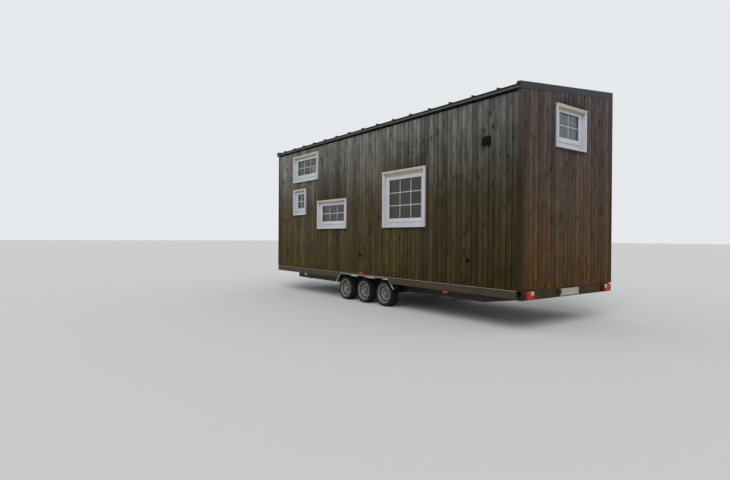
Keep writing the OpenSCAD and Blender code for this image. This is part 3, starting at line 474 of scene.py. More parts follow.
@dataclass(frozen=True)
class Planks(Finish):
    """Oiled spruce lining in planks: dark honey brown with long grain and thin joints."""

    name: str
    axis: int
    run: int
    colour: str = "#886640"
    late: str = "#6a4a2a"
    width_mm: float = 120.0
    seam: str = "#2e2116"
    seam_share: float = 0.03
    grain_mm: float = 100 / 9
    grain_long_mm: float = 400.0
    roughness: float = 0.5

    def paint(self, tree: Tree) -> dict[str, object]:
        """Draws the grain along the planks and a dark line at each joint.

        Args:
            tree: the node tree.

        Returns:
            The shader's inputs.
        """
        place = add_node(tree, "TexCoord").outputs["Object"]
        axes = add_node(tree, "SeparateXYZ", {0: place}).outputs
        counted = add_node(
            tree, "Math", {0: axes[self.axis], 1: 1000 / self.width_mm}, operation="MULTIPLY"
        ).outputs[0]
        plank = add_node(tree, "Math", {0: counted}, operation="FLOOR").outputs[0]
        part = add_node(tree, "Math", {0: counted}, operation="FRACT").outputs[0]
        tone = add_node(tree, "TexWhiteNoise", {"W": plank}, noise_dimensions="1D").outputs[0]
        scale = [1000 / self.grain_mm] * 3
        scale[self.run] = 1000 / self.grain_long_mm
        shift = add_node(tree, "CombineXYZ", {self.run: plank}).outputs[0]
        moved = add_node(
            tree, "VectorMath", {0: place, 1: tuple(scale), 2: shift}, operation="MULTIPLY_ADD"
        ).outputs[0]
        grain = add_node(tree, "TexNoise", {"Vector": moved, "Scale": 1.0, "Detail": 4.0}).outputs["Fac"]
        mixed = add_node(
            tree, "Mix", {0: grain, 6: linear(self.colour), 7: linear(self.late)}, data_type="RGBA"
        ).outputs[2]
        value = add_node(tree, "MapRange", {0: tone, 3: 0.85, 4: 1.15}).outputs[0]
        toned = add_node(tree, "HueSaturation", {"Value": value, "Color": mixed}).outputs[0]
        joint = add_node(
            tree, "MapRange", {0: part, 1: 0.0, 2: self.seam_share, 3: 0.85, 4: 0.0}
        ).outputs[0]
        colour = add_node(
            tree, "Mix", {0: joint, 6: toned, 7: linear(self.seam)}, data_type="RGBA"
        ).outputs[2]
        bump = add_node(tree, "Bump", {"Height": grain, "Strength": 0.2, "Distance": 0.0006})
        return {"Base Color": colour, "Roughness": self.roughness, "Normal": bump.outputs[0]}


@dataclass(frozen=True)
class Galvanised(Finish):
    """Hot-dip galvanised steel: dull grey zinc with a faint spangle and brown dirt in it."""

    name: str
    colour: str = "#85867f"
    spangle: str = "#9b9c96"
    dirt: str = "#4b4232"
    dirt_share: float = 0.45
    metallic: float = 0.75
    roughness: float = 0.5
    spangle_mm: float = 14.0
    cloud_mm: float = 200.0
    # Where set, the pale colour of the painted highlight on the outermost edge, and how far out it starts.
    edge_highlight: str = ""
    edge: float = 0.0
    middle: float = -0.037

    def paint(self, tree: Tree) -> dict[str, object]:
        """Draws the zinc crystals, lays dirt over them and paints the outermost edge pale as a painted
        highlight.

        Args:
            tree: the node tree.

        Returns:
            The shader's inputs.
        """
        place = add_node(tree, "TexCoord").outputs["Object"]
        cells = add_node(tree, "TexVoronoi", {"Vector": place, "Scale": 1000 / self.spangle_mm})
        tone = add_node(tree, "SeparateColor", {0: cells.outputs["Color"]}).outputs[0]
        zinc = add_node(
            tree, "Mix", {0: tone, 6: linear(self.colour), 7: linear(self.spangle)}, data_type="RGBA"
        ).outputs[2]
        cloud = add_node(
            tree, "TexNoise",
            {"Vector": place, "Scale": 1000 / self.cloud_mm, "Detail": 6.0, "Roughness": 0.65},
        ).outputs["Fac"]
        dirty = add_node(
            tree, "MapRange",
            {0: cloud, 1: 0.4, 2: 0.7, 3: self.dirt_share * 0.4, 4: self.dirt_share * 1.6},
        ).outputs[0]
        colour = add_node(
            tree, "Mix", {0: dirty, 6: zinc, 7: linear(self.dirt)}, data_type="RGBA"
        ).outputs[2]
        # Painted highlight: the outermost edge, beyond edge from the middle, turns pale.
        if self.edge_highlight:
            across = add_node(tree, "SeparateXYZ", {0: place}).outputs[1]
            off = add_node(tree, "Math", {0: across, 1: -self.middle}, operation="ADD").outputs[0]
            out = add_node(tree, "Math", {0: off}, operation="ABSOLUTE").outputs[0]
            bare = add_node(tree, "Math", {0: out, 1: self.edge}, operation="GREATER_THAN").outputs[0]
            colour = add_node(
                tree, "Mix", {0: bare, 6: colour, 7: linear(self.edge_highlight)}, data_type="RGBA"
            ).outputs[2]
        shine = add_node(tree, "MapRange", {0: dirty, 3: self.metallic, 4: self.metallic * 0.3})
        rough = add_node(tree, "MapRange", {0: tone, 3: self.roughness - 0.08, 4: self.roughness + 0.1})
        bump = add_node(tree, "Bump", {"Height": cloud, "Strength": 0.25, "Distance": 0.001})
        return {
            "Base Color": colour, "Roughness": rough.outputs[0], "Normal": bump.outputs[0],
            "Metallic": shine.outputs[0],
        }


@dataclass(frozen=True)
class PaneGlass(Finish):
    """Float glass under an anti-glare coat: faintly bronze, mirroring less than bare glass."""

    name: str = "float_glass"
    tint: str = "#cec9bd"
    index: float = 1.36

    def paint(self, tree: Tree) -> dict[str, object]:
        """Gives clear smooth glass.

        Args:
            tree: the node tree.

        Returns:
            The shader's inputs.
        """
        return {
            "Base Color": linear(self.tint), "Roughness": 0.0, "IOR": self.index, "Transmission Weight": 1.0
        }

    def surface(self, tree: Tree, shader: Node) -> Socket:
        """Lets the light of lamp and world pass straight through.

        Args:
            tree: the node tree.
            shader: the glass.

        Returns:
            The mixed surface.
        """
        rays = add_node(tree, "LightPath").outputs
        lets = add_node(
            tree, "Math", {0: rays["Is Shadow Ray"], 1: rays["Is Diffuse Ray"]}, operation="MAXIMUM"
        ).outputs[0]
        clear = add_node(tree, "BsdfTransparent", {"Color": linear(self.tint)}).outputs[0]
        return add_node(tree, "MixShader", {0: lets, 1: shader.outputs[0], 2: clear}).outputs[0]


@dataclass(frozen=True)
class LampLens(Finish):
    """Moulded acrylic lens: glossy and deep in colour, with fine ribs that scatter the light."""

    name: str
    colour: str
    rib_mm: float = 7.0
    bands: ClassVar[float] = 20.0
    roughness: float = 0.2
    gloss: float = 0.2

    def paint(self, tree: Tree) -> dict[str, object]:
        """Draws the ribs as bump, with painted shade in their valleys and a painted highlight on their
        crests.

        Args:
            tree: the node tree.

        Returns:
            The shader's inputs.
        """
        place = add_node(tree, "TexCoord").outputs["Object"]
        ribs = add_node(
            tree, "TexWave", {"Vector": place, "Scale": 1000 / self.rib_mm / self.bands, "Distortion": 0.0},
            bands_direction="DIAGONAL", wave_profile="SIN",
        ).outputs["Fac"]
        # Painted shade and highlight: the colour darkens in the rib valleys and lightens on the crests.
        value = add_node(tree, "MapRange", {0: ribs, 3: 0.8, 4: 1.15}).outputs[0]
        colour = add_node(tree, "HueSaturation", {"Value": value, "Color": linear(self.colour)}).outputs[0]
        bump = add_node(tree, "Bump", {"Height": ribs, "Strength": 0.35, "Distance": 0.0008})
        return {
            "Base Color": colour, "Roughness": self.roughness, "Normal": bump.outputs[0],
            "Specular IOR Level": self.gloss,
        }


class Finishes:
    """The finishes that several sub-assemblies share."""

    # Satin alkyd paint on planed joinery: white greyed down and hardly cool, partly painted shade of walls
    # lit only by the sky.
    white = Coating(
        "satin_white_paint", "#cdced3", "#c3c5cb", "#a39f92",
        cloud_mm=220, grain_mm=9, dirt_share=0.06, roughness=0.38, spread=0.05, bump=0.05,
    )
    # The same paint on the drip caps: a warm cream, paler than the casings, as a painted highlight of their
    # lit tops.
    cream = Coating(
        "cap_highlight_paint", "#e2d9c8", "#d8cdbb", "#b3a892",
        cloud_mm=160, grain_mm=8, dirt_share=0.15, roughness=0.45, spread=0.05, bump=0.05,
    )
    # Planed members right under the cap: the same paint in tan, as painted shade under the cap's overhang.
    head_shade = Coating(
        "head_shade_paint", "#c8c1b7", "#bdb4a7", "#a0947f",
        cloud_mm=140, grain_mm=7, dirt_share=0.25, roughness=0.55, spread=0.06, bump=0.06,
    )
    # Polyester-coated steel sheet: even slate grey with a soft sheen and dried water marks.
    sheet = Coating(
        "polyester_coated_steel", "#2b2d33", "#33353a", "#4a4843",
        cloud_mm=260, grain_mm=5, dirt_share=0.12, roughness=0.5, spread=0.08, bump=0.04, gloss=0.25,
    )
    # The sheet's folded edge at the eave: the same coat, near black.
    apron = Coating(
        "near_black_coated_steel", "#1c1e21", "#242628", "#3a3833",
        cloud_mm=200, grain_mm=5, dirt_share=0.1, roughness=0.6, spread=0.06, bump=0.04, gloss=0.2,
    )
    # The drip strip under it, paler.
    lip = Coating(
        "pale_coated_steel", "#504e4b", "#5a5854", "#6e695e",
        cloud_mm=200, grain_mm=5, dirt_share=0.2, roughness=0.55, spread=0.08, bump=0.04, gloss=0.3,
    )
    # Folded corner trims of the same steel: matt, streaked by rain, turning brown towards the foot as a
    # painted warm reflection of the ground.
    trim = Coating(
        "folded_corner_steel", "#545253", "#585657", "#3f3930",
        cloud_mm=90, grain_mm=5, dirt_share=0.3, roughness=0.7, spread=0.06, bump=0.06,
        stretch=(1, 1, 0.08), gloss=0.1, foot="#34291a",
    )
    # Brush-painted steel beam: dark brown-grey, chalky, rusting where it is chipped.
    bumper = Coating(
        "chalky_beam_paint", "#3d2e17", "#332815", "#4c3115",
        cloud_mm=160, grain_mm=6, dirt_share=0.25, roughness=0.68, spread=0.1, bump=0.15, gloss=0.2,
    )
    # Forged and painted coupling: black with a satin shine and worn grey patches.
    iron = Coating(
        "painted_forging", "#26282a", "#303234", "#6b6a66",
        cloud_mm=60, grain_mm=3, dirt_share=0.12, metallic=0.3, roughness=0.48, spread=0.1, bump=0.15,
    )
    # Silver wheel lacquer: fine metal flakes under a clear coat, brake dust in the dish.
    rim = Coating(
        "silver_wheel_lacquer", "#929095", "#7d7b7d", "#41372c",
        cloud_mm=70, grain_mm=2, dirt_share=0.3, metallic=0.4, roughness=0.4, spread=0.08, bump=0.04,
        coat=0.1,
    )
    # The same lacquer in the dish, hub and well: darker, as painted shade, with brown brake dust.
    dish = Coating(
        "shaded_wheel_lacquer", "#5f5b59", "#504a45", "#332b23",
        cloud_mm=50, grain_mm=2, dirt_share=0.4, metallic=0.25, roughness=0.55, spread=0.08, bump=0.05,
    )
    # Vulcanised rubber: near black, dull, grey-brown with dust.
    rubber = Coating(
        "tyre_rubber", "#191715", "#1f1c19", "#362e23",
        cloud_mm=90, grain_mm=4, dirt_share=0.3, roughness=0.84, spread=0.06, bump=0.15, gloss=0.25,
    )
    # Extruded sealing rubber: plain black with a slight bloom.
    seal = Coating(
        "sealing_rubber", "#0f0f10", "#151516", "#232220",
        cloud_mm=60, grain_mm=4, dirt_share=0.1, roughness=0.8, spread=0.06, bump=0.05, gloss=0.08,
    )
    # Moulded black polypropylene: fine texture, greyed by sun.
    plastic = Coating(
        "black_polypropylene", "#1c1d1e", "#242526", "#4a463f",
        cloud_mm=80, grain_mm=2, dirt_share=0.15, roughness=0.5, spread=0.08, bump=0.12,
    )
    # Breather membrane behind the open joints: black, matt.
    membrane = Coating(
        "breather_membrane", "#131211", "#191816", "#2a251d",
        cloud_mm=120, grain_mm=6, dirt_share=0.2, roughness=0.9, spread=0.04, bump=0.1,
    )
    # Mill-finish aluminium: pale, brushed, slightly oxidised.
    aluminium = Coating(
        "mill_aluminium", "#b2b4b6", "#a4a6a8", "#77746c",
        cloud_mm=80, grain_mm=2, dirt_share=0.1, metallic=0.9, roughness=0.38, spread=0.08, bump=0.05,
    )
    # Zinc-plated steel: bright grey with a yellow cast where it ages.
    zinc = Coating(
        "zinc_plated_steel", "#a2a4a1", "#93958f", "#6f6752",
        cloud_mm=90, grain_mm=3, dirt_share=0.2, metallic=0.8, roughness=0.4, spread=0.1, bump=0.06,
    )
    # Reflective plate film: flat white with a satin face, left bare.
    plate = Coating(
        "reflective_plate_film", "#aba69a", "#a09a8c", "#7a7262",
        cloud_mm=120, grain_mm=3, dirt_share=0.2, roughness=0.4, spread=0.05, bump=0.05,
    )
    # The chassis steel in dark brown-grey is painted shade of the underside, over real brown dirt; the
    # outer lips of rails and mudguards carry a pale painted highlight.
    steel = Galvanised(
        "galvanised_steel", "#403722", "#4b412b", "#2e2413",
        dirt_share=0.5, metallic=0.3, roughness=0.6, edge_highlight="#a09d92", edge=1.1845,
    )
    beams = Galvanised(
        "shaded_galvanised_beams", "#302d28", "#3b3832", "#211b12", dirt_share=0.5, metallic=0.3, roughness=0.65
    )
    guard = Galvanised(
        "shaded_galvanised_sheet", "#2e2a23", "#383329", "#201a11",
        dirt_share=0.4, metallic=0.3, roughness=0.6, edge_highlight="#9b978a", edge=1.1640,
    )
    # Panes of the side windows and the door, under the anti-glare coat.
    glass = PaneGlass()
    # Bare float glass in the end windows: cooler, and it mirrors more.
    bare_glass = PaneGlass("bare_float_glass", "#c9d2dc", 1.52)
    red = LampLens("red_lens_acrylic", "#b02e08")
    deep_red = LampLens("deep_red_lens_acrylic", "#661404")
    amber = LampLens("amber_lens_acrylic", "#b5561a")
    clear = LampLens("clear_lens_acrylic", "#c4b8a8")
    wall_lining = Planks("spruce_wall_lining", axis=2, run=0)
    floor_planks = Planks(
        "spruce_floor_planks", axis=1, run=0, colour="#80603a", late="#644626", width_mm=140.0
    )
    roof_planks = Planks(
        "spruce_roof_planks", axis=1, run=0, colour="#8d6c44", late="#70502c", width_mm=120.0
    )


class Shape:
    """A mesh under construction, with the operations that the pieces share."""

    def __init__(self) -> None:
        """Starts an empty mesh."""
        self.bm = bmesh.new()

    def block(self, low: Point, high: Point, ease: float = 0.0, index: int = 0, segments: int = 2) -> None:
        """Adds a block between two corners.

        Args:
            low: the lowest corner.
            high: the highest corner.
            ease: radius of its edges.
            index: number of its finish in the piece's list.
            segments: steps round each edge.
        """
        start, end = Vector(low), Vector(high)
        verts = bmesh.ops.create_cube(self.bm, size=1.0)["verts"]
        bmesh.ops.scale(self.bm, vec=end - start, verts=verts)
        bmesh.ops.translate(self.bm, vec=(start + end) / 2, verts=verts)
        self.mark(verts, index)
        if ease > 0:
            self.bevel({e for v in verts for e in v.link_edges}, ease, segments)

    def bevel(self, edges: set, ease: float, segments: int = 2) -> None:
        """Rounds edges to a radius.

        Args:
            edges: the edges.
            ease: the radius.
            segments: steps round each edge.
        """
        bmesh.ops.bevel(
            self.bm, geom=list(edges), offset=ease, offset_type="OFFSET", segments=segments, profile=0.5,
            affect="EDGES", clamp_overlap=True, material=-1,
        )

    @staticmethod
    def mark(verts: list, index: int) -> None:
        """Gives the faces round some vertices a finish number.

        Args:
            verts: the vertices.
            index: the number.
        """
        for vert in verts:
            for face in vert.link_faces:
                face.material_index = index

    def prism(self, outline: list[Point], reach: Point, ease: float = 0.0, index: int = 0) -> None:
        """Adds a flat outline drawn out along a straight line.

        Args:
            outline: corners of the outline.
            reach: how far and which way it is drawn out.
            ease: radius of its edges.
            index: number of its finish.
        """
        face = self.bm.faces.new([self.bm.verts.new(p) for p in outline])
        drawn = bmesh.ops.extrude_face_region(self.bm, geom=[face])["geom"]
        moved = [g for g in drawn if isinstance(g, bmesh.types.BMVert)]
        bmesh.ops.translate(self.bm, vec=reach, verts=moved)
        verts = moved + list(face.verts)
        self.mark(verts, index)
        if ease > 0:
            self.bevel({e for v in verts for e in v.link_edges}, ease)

    def rod(
        self,
        start: Point,
        end: Point,
        radius: float,
        ease: float = 0.0,
        index: int = 0,
        segments: int = 24,
        tip: float | None = None,
    ) -> None:
        """Adds a round or many-sided bar between two points.

        Args:
            start: middle of one end.
            end: middle of the other end.
            radius: its radius at the start.
            ease: radius of its end edges.
            index: number of its finish.
            segments: its sides.
            tip: its radius at the end, if another.
        """
        line = Vector(end) - Vector(start)
        turn = Vector((0, 0, 1)).rotation_difference(line).to_matrix().to_4x4()
        made = bmesh.ops.create_cone(
            self.bm, cap_ends=True, segments=segments, radius1=radius,
            radius2=radius if tip is None else tip, depth=line.length,
            matrix=Matrix.Translation((Vector(start) + Vector(end)) / 2) @ turn,
        )["verts"]
        self.mark(made, index)
        if ease > 0:
            caps = {f for v in made for f in v.link_faces if len(f.verts) == segments}
            self.bevel({e for f in caps for e in f.edges}, ease)

    def revolve(self, outline: list[Pair], steps: int, index: int = 0, closed: bool = True) -> list:
        """Adds an outline of radius and height, turned once round Z.

        Args:
            outline: pairs of radius and height.
            steps: segments of the turn.
            index: number of its finish.
            closed: whether the outline returns to its start, or starts and ends on the axis.

        Returns:
            The new faces.
        """
        verts = [self.bm.verts.new((radius, 0, height)) for radius, height in outline]
        start = 0 if closed else 1
        edges = [self.bm.edges.new((verts[i - 1], verts[i])) for i in range(start, len(verts))]
        known = set(self.bm.faces)
        bmesh.ops.spin(
            self.bm, geom=verts + edges, axis=(0, 0, 1), cent=(0, 0, 0), angle=math.tau, steps=steps,
            use_merge=True,
        )
        if not closed:
            bmesh.ops.remove_doubles(self.bm, verts=self.bm.verts, dist=WELD / 10)
        faces = [f for f in self.bm.faces if f not in known]
        for face in faces:
            face.material_index = index
        return faces

    def trim(self, point: Point, normal: Point) -> None:
        """Cuts off all that lies beyond a plane and closes the cut.

        Args:
            point: a point on the plane.
            normal: the direction that is cut off.
        """
        geom = [*self.bm.verts, *self.bm.edges, *self.bm.faces]
        bmesh.ops.bisect_plane(self.bm, geom=geom, plane_co=point, plane_no=normal, clear_outer=True)
        bmesh.ops.holes_fill(self.bm, edges=[e for e in self.bm.edges if e.is_boundary], sides=0)

    def add(self, other: "Shape", place: Matrix | None = None) -> None:
        """Takes up another shape, moved into place, and ends it.

        Args:
            other: the shape.
            place: its move.
        """
        if place is not None:
            bmesh.ops.transform(other.bm, matrix=place, verts=other.bm.verts)
        spare = bpy.data.meshes.new("spare")
        other.bm.to_mesh(spare)
        other.bm.free()
        self.bm.from_mesh(spare)
        bpy.data.meshes.remove(spare)

    def build(self, name: str, finishes: list[Finish], place: Matrix | None = None) -> Piece:
        """Ends the mesh and puts it in the scene as one object.

        Args:
            name: the piece's name.
            finishes: its finishes, in the order of their numbers.
            place: its move.

        Returns:
            The object.
        """
        if place is not None:
            bmesh.ops.transform(self.bm, matrix=place, verts=self.bm.verts)
        bmesh.ops.recalc_face_normals(self.bm, faces=self.bm.faces)
        for face in self.bm.faces:
            face.smooth = True
        for edge in self.bm.edges:
            edge.smooth = edge.calc_face_angle(math.pi) < SMOOTH_ANGLE
        data = bpy.data.meshes.new(name)
        self.bm.to_mesh(data)
        self.bm.free()
        for finish in finishes:
            data.materials.append(finish.material())
        piece = bpy.data.objects.new(name, data)
        bpy.context.scene.collection.objects.link(piece)
        return piece


def hand_over(piece: Piece, nodes: tuple[str, ...] = (), body: str = HOUSE) -> None:
    """Fixes a finished piece to its body, hides the nodes that it replaces and logs its faces.

    Args:
        piece: the piece.
        nodes: the nodes that it replaces.
        body: the body that it rides on.
    """
    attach(piece, body)
    if nodes:
        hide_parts(*nodes)
    log.info("%s: %d faces on %s", piece.name, len(piece.data.polygons), body)


def dress(node: str, finish: Finish, ease: float = 0.0) -> None:
    """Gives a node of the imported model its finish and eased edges.

    Args:
        node: the node's name.
        finish: the finish.
        ease: radius of its edges.
    """
    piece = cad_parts[node]
    for slot in piece.material_slots:
        slot.material = finish.material()
    if ease > 0:
        weld = piece.modifiers.new("weld", "WELD")
        weld.merge_threshold = WELD
        flat = piece.modifiers.new("flat", "DECIMATE")
        flat.decimate_type = "DISSOLVE"
        flat.angle_limit = FLAT_ANGLE
        bevel = piece.modifiers.new("ease", "BEVEL")
        bevel.width = ease
        bevel.segments = 2
        bevel.limit_method = "ANGLE"
        bevel.angle_limit = EASED_ANGLE
        bevel.harden_normals = False
    log.info("%s: dressed", node)


def subtract(piece: Piece, cutter: Shape) -> None:
    """Cuts a shape out of a piece.

    Args:
        piece: the piece, whose mesh is replaced.
        cutter: closed solids.
    """
    tool = cutter.build("cutter", [])
    cut = piece.modifiers.new("cut", "BOOLEAN")
    cut.operation = "DIFFERENCE"
    cut.solver = "EXACT"
    cut.object = tool
    shaped = piece.evaluated_get(bpy.context.evaluated_depsgraph_get())
    data = bpy.data.meshes.new_from_object(shaped)
    piece.modifiers.clear()
    old = piece.data
    piece.data = data
    data.name = piece.name
    bpy.data.meshes.remove(old)
    bpy.data.meshes.remove(tool.data)


@dataclass(frozen=True)
class Opening:
    """Place and size of a window or door on its wall, in metres."""

    middle: float
    sill: float
    width: float
    height: float

    @property
    def low(self) -> Pair:
        """Lower corner along and up the wall."""
        return self.middle - self.width / 2, self.sill

    @property
    def high(self) -> Pair:
        """Upper corner along and up the wall."""
        return self.middle + self.width / 2, self.sill + self.height


@dataclass(frozen=True)
class WindowSize(Opening):
    """A window, its number of panes and what its head has more than the others."""

    columns: int
    rows: int
    head: float = 0.0


TALL = WindowSize(middle=-2.445, sill=1.475, width=1.126, height=1.010, columns=3, rows=3, head=0.020)
LOW = WindowSize(middle=-4.780, sill=1.475, width=1.126, height=0.612, columns=3, rows=2)
NARROW = WindowSize(middle=-6.173, sill=1.812, width=0.580, height=0.600, columns=2, rows=2)
LOFT = WindowSize(middle=-5.906, sill=2.590, width=1.126, height=0.612, columns=3, rows=2)
REAR_END, FRONT_END = (
    WindowSize(middle=at, sill=2.634, width=0.800, height=0.624, columns=2, rows=2, head=-0.010)
    for at in (-0.017, 0.017)
)
WINDOWS = {
    Side.LEFT: (TALL, LOW, NARROW, LOFT),
    Side.RIGHT: (TALL, NARROW, LOFT),
    Side.REAR: (REAR_END,),
    Side.FRONT: (FRONT_END,),
}


@dataclass(frozen=True)
class DoorSize(Opening):
    """The door in the right wall, its members and its handle's height."""

    middle: float = -3.905
    sill: float = 0.655
    width: float = 0.980
    height: float = 2.010
    frame_w: float = 0.062
    threshold: float = 0.030
    panel_h: float = 0.620
    stile_w: float = 0.095
    handle_z: float = 1.030


DOOR = DoorSize()


@dataclass(frozen=True)
class BoardRow:
    """Spacing of a wall's boards and the place of one joint along the wall, in metres."""

    pitch: float
    joint_at: float


SIDE_BOARDS = BoardRow(pitch=0.1035, joint_at=-0.053)
END_BOARDS = BoardRow(pitch=0.1082, joint_at=0.026)


@dataclass
class Wall:
    """One wall: upright boards with open joints over a dark core lined with planks."""

    body: Body
    side: Side
    joint: float = 0.012
    least: float = 0.012
    ease: float = 0.0035
    foot: float = 0.004
    # How far the left wall's boards stop below its top; the black strip left there is painted shadow under
    # the eave.
    vent_shadow: float = 0.022
    wander: float = 0.0012
    cut_through: float = 0.05
    # How much lighter this side wall turns towards its front end.
    side_lengthwise_tone: float = 0.3
    seed: int = 11

    @property
    def span(self) -> Pair:
        """Works out where the boards start and end.

        Returns:
            Their first and last place along the wall.
        """
        if self.side.along == 1:
            return -self.body.half_w, self.body.half_w
        return -self.body.length + self.body.board_t, -self.body.board_t

    @property
    def row(self) -> BoardRow:
        """The boards of this wall."""
        return SIDE_BOARDS if self.side.along == 0 else END_BOARDS

    @property
    def high(self) -> float:
        """Height of the wall's highest board end."""
        return self.body.top(-self.body.half_w if self.side is Side.LEFT else self.body.half_w)

    def stain(self) -> StainedSpruce:
        """The stain, counted along the wall from its first board.

        Returns:
            The finish.
        """
        at = self.row.joint_at
        origin = {
            Side.LEFT: self.body.rear_x + at,
            Side.RIGHT: self.body.rear_x + at,
            Side.REAR: at,
            Side.FRONT: -at,
        }[self.side]
        tones: dict[str, object] = {"lengthwise_tone": self.side_lengthwise_tone}
        if self.side.along == 1:
            # The end walls' tones from foot to head, partly painted light: a sky sheen at the head and a
            # warm ground reflection at the foot.
            tones = {"foot": "#4e3306", "middle": "#4f4032", "head": "#524b4c", "warmth": 0.28}
        return StainedSpruce(
            f"stained_spruce_{self.side.value}", self.side.along, origin, self.row.pitch, self.body.deck_z,
            self.high, **tones,
        )

    def cladding(self) -> Piece:
        """Sets the boards side by side and cuts them round the openings.

        Returns:
            The boards as one piece.
        """
        rng = random.Random(self.seed)
        shape = Shape()
        start, end = self.span
        pitch, at = self.row.pitch, self.row.joint_at
        # The left wall's boards stop short of the top, leaving a black strip as painted shadow under the
        # eave.
        top = self.high - (self.vent_shadow if self.side is Side.LEFT else 0)
        for number in range(math.floor((start - at) / pitch), math.ceil((end - at) / pitch)):
            inset = rng.uniform(0, self.wander)
            left = max(start, at + number * pitch + self.joint / 2)
            right = min(end, at + (number + 1) * pitch - self.joint / 2)
            if right - left < self.least:
                continue
            board = Shape()
            board.block((left, inset, self.body.deck_z + self.foot), (right, self.body.board_t, top))
            upright = {e for e in board.bm.edges if abs(e.verts[0].co.z - e.verts[1].co.z) > HAIR}
            board.bevel(upright, self.ease)
            shape.add(board)
        if self.side.along == 1:
            lean = self.body.slope if self.side is Side.REAR else -self.body.slope
            shape.trim((0, 0, self.body.top(0)), (-lean, 0, 1))
        piece = shape.build(f"{self.side.value}_boards", [self.stain()])
        subtract(piece, self.openings())
        place = self.body.place(self.side)
        piece.data.transform(place)
        if place.determinant() < 0:
            piece.data.flip_normals()
        return piece

    def openings(self) -> Shape:
        """Makes blocks the size of this wall's windows and door.

        Returns:
            The blocks.
        """
        cutter = Shape()
        holes: list[Opening] = list(WINDOWS[self.side])
        if self.side is Side.RIGHT:
            holes.append(DOOR)
        for hole in holes:
            (x0, z0), (x1, z1) = hole.low, hole.high
            low, high = (x0 - HAIR, -self.cut_through, z0 - HAIR), (x1 + HAIR, self.cut_through, z1 + HAIR)
            cutter.block(low, high)
        return cutter

    def core(self) -> Piece:
        """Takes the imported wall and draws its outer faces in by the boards' thickness.

        Returns:
            The wall's core, dark outside and lined inside.
        """
        shape = Shape()
        bm = shape.bm
        bm.from_mesh(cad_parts[f"{self.side.value}_wall"].data)
        bmesh.ops.remove_doubles(bm, verts=bm.verts, dist=WELD)
        bmesh.ops.dissolve_limit(bm, angle_limit=FLAT_ANGLE, verts=bm.verts, edges=bm.edges)
        body = self.body
        planes = {
            Side.LEFT: [(1, -body.half_w)],
            Side.RIGHT: [(1, body.half_w)],
            Side.REAR: [(0, body.rear_x), (1, -body.half_w), (1, body.half_w)],
            Side.FRONT: [(0, body.front_x), (1, -body.half_w), (1, body.half_w)],
        }[self.side]
        for face in bm.faces:
            face.material_index = 1
        for axis, at in planes:
            outer = [v for v in bm.verts if abs(v.co[axis] - at) < HAIR]
            middle = sum(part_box(f"{self.side.value}_wall")[i][axis] for i in (0, 1)) / 2
            move = Vector((0, 0, 0))
            move[axis] = body.board_t if at < middle else -body.board_t
            bmesh.ops.translate(bm, vec=move, verts=outer)
            known = set(outer)
            for face in bm.faces:
                if all(v in known for v in face.verts):
                    face.material_index = 0
        return shape.build(f"{self.side.value}_wall_core", [Finishes.membrane, Finishes.wall_lining])

    def build(self) -> None:
        """Builds the core and the boards of this wall."""
        hand_over(self.core(), (f"{self.side.value}_wall",))
        hand_over(self.cladding())


@dataclass
class Eave:
    """The folded edge under the low eave: a near-black apron, a paler drip lip and a black strip for the
    ventilation gap, which also stands as painted shadow under the fold.
    """

    body: Body
    # Height and inset of the black strip under the folds: the ventilation gap, deepened as painted shadow
    # under the eave.
    vent_shadow_h: float = 0.0215
    vent_shadow_in: float = 0.0005
    lip_share: float = 0.52
    lip_out: float = 0.004
    joint: float = 0.0015
    ease: float = 0.0015
    lengths: int = 3

    def build(self) -> None:
        """Builds both folds in lengths laid end to end, and the strip behind them."""
        body = self.body
        low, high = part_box("eave_fascia")
        under = low.z - body.top(low.y)
        over = high.z - body.top(high.y)
        split = under + (over - under) * self.lip_share
        step = (high.x - low.x) / self.lengths
        shape = Shape()
        for start in range(self.lengths):
            x = low.x + start * step
            reach = (step - (self.joint if start < self.lengths - 1 else 0), 0, 0)
            for out, foot, head, index in ((0.0, split, over, 0), (self.lip_out, under, split, 1)):
                near = low.y - out
                fold = [
                    (x, near, body.top(near) + foot),
                    (x, high.y, body.top(high.y) + foot),
                    (x, high.y, body.top(high.y) + head),
                    (x, near, body.top(near) + head),
                ]
                shape.prism(fold, reach, self.ease, index)
        # The black strip behind the folds, over the lowered board tops: painted shadow under the eave, with
        # the ventilation gap.
        out, inner = self.vent_shadow_in - body.half_w, body.board_t - body.half_w
        vent_shadow = [
            (low.x + body.board_t, out, body.top(out) - self.vent_shadow_h),
            (low.x + body.board_t, inner, body.top(inner) - self.vent_shadow_h),
            (low.x + body.board_t, inner, body.top(inner) - HAIR),
            (low.x + body.board_t, out, body.top(out) - HAIR),
        ]
        shape.prism(vent_shadow, (high.x - low.x - 2 * body.board_t, 0, 0), 0.0, 2)
        finishes = [Finishes.apron, Finishes.lip, Finishes.seal]
        hand_over(shape.build("eave_apron", finishes), ("eave_fascia",))


class WindowPart(IntEnum):
    """Numbers of the finishes of casings and sashes."""

    PAINT = 0
    # The head members, in tan as painted shade under the cap.
    DUSTY = 1
    CAP = 2


class PanePart(IntEnum):
    """Numbers of the finishes of double panes."""

    GLASS = 0
    SPACER = 1
    SEAL = 2


@dataclass(frozen=True)
class DripCap:
    """The sloping board over a window or the door, which sheds the rain."""

    out: float = 0.036
    side: float = 0.014
    thick: float = 0.014
    fall: float = 0.004
    ease: float = 0.0025 / 1.5

    def over(self, x0: float, x1: float, z: float) -> Shape:
        """Makes the cap over a casing.

        Args:
            x0: the casing's left edge.
            x1: its right edge.
            z: its top.

        Returns:
            The cap.
        """
        cap = Shape()
        low, high = (x0 - self.side, -self.out, z), (x1 + self.side, 0, z + self.thick)
        cap.block(low, high, 0.0, WindowPart.CAP)
        cap.trim((0, 0, z + self.thick), (0, -self.fall, self.out))
        cap.bevel(set(cap.bm.edges), self.ease)
        return cap


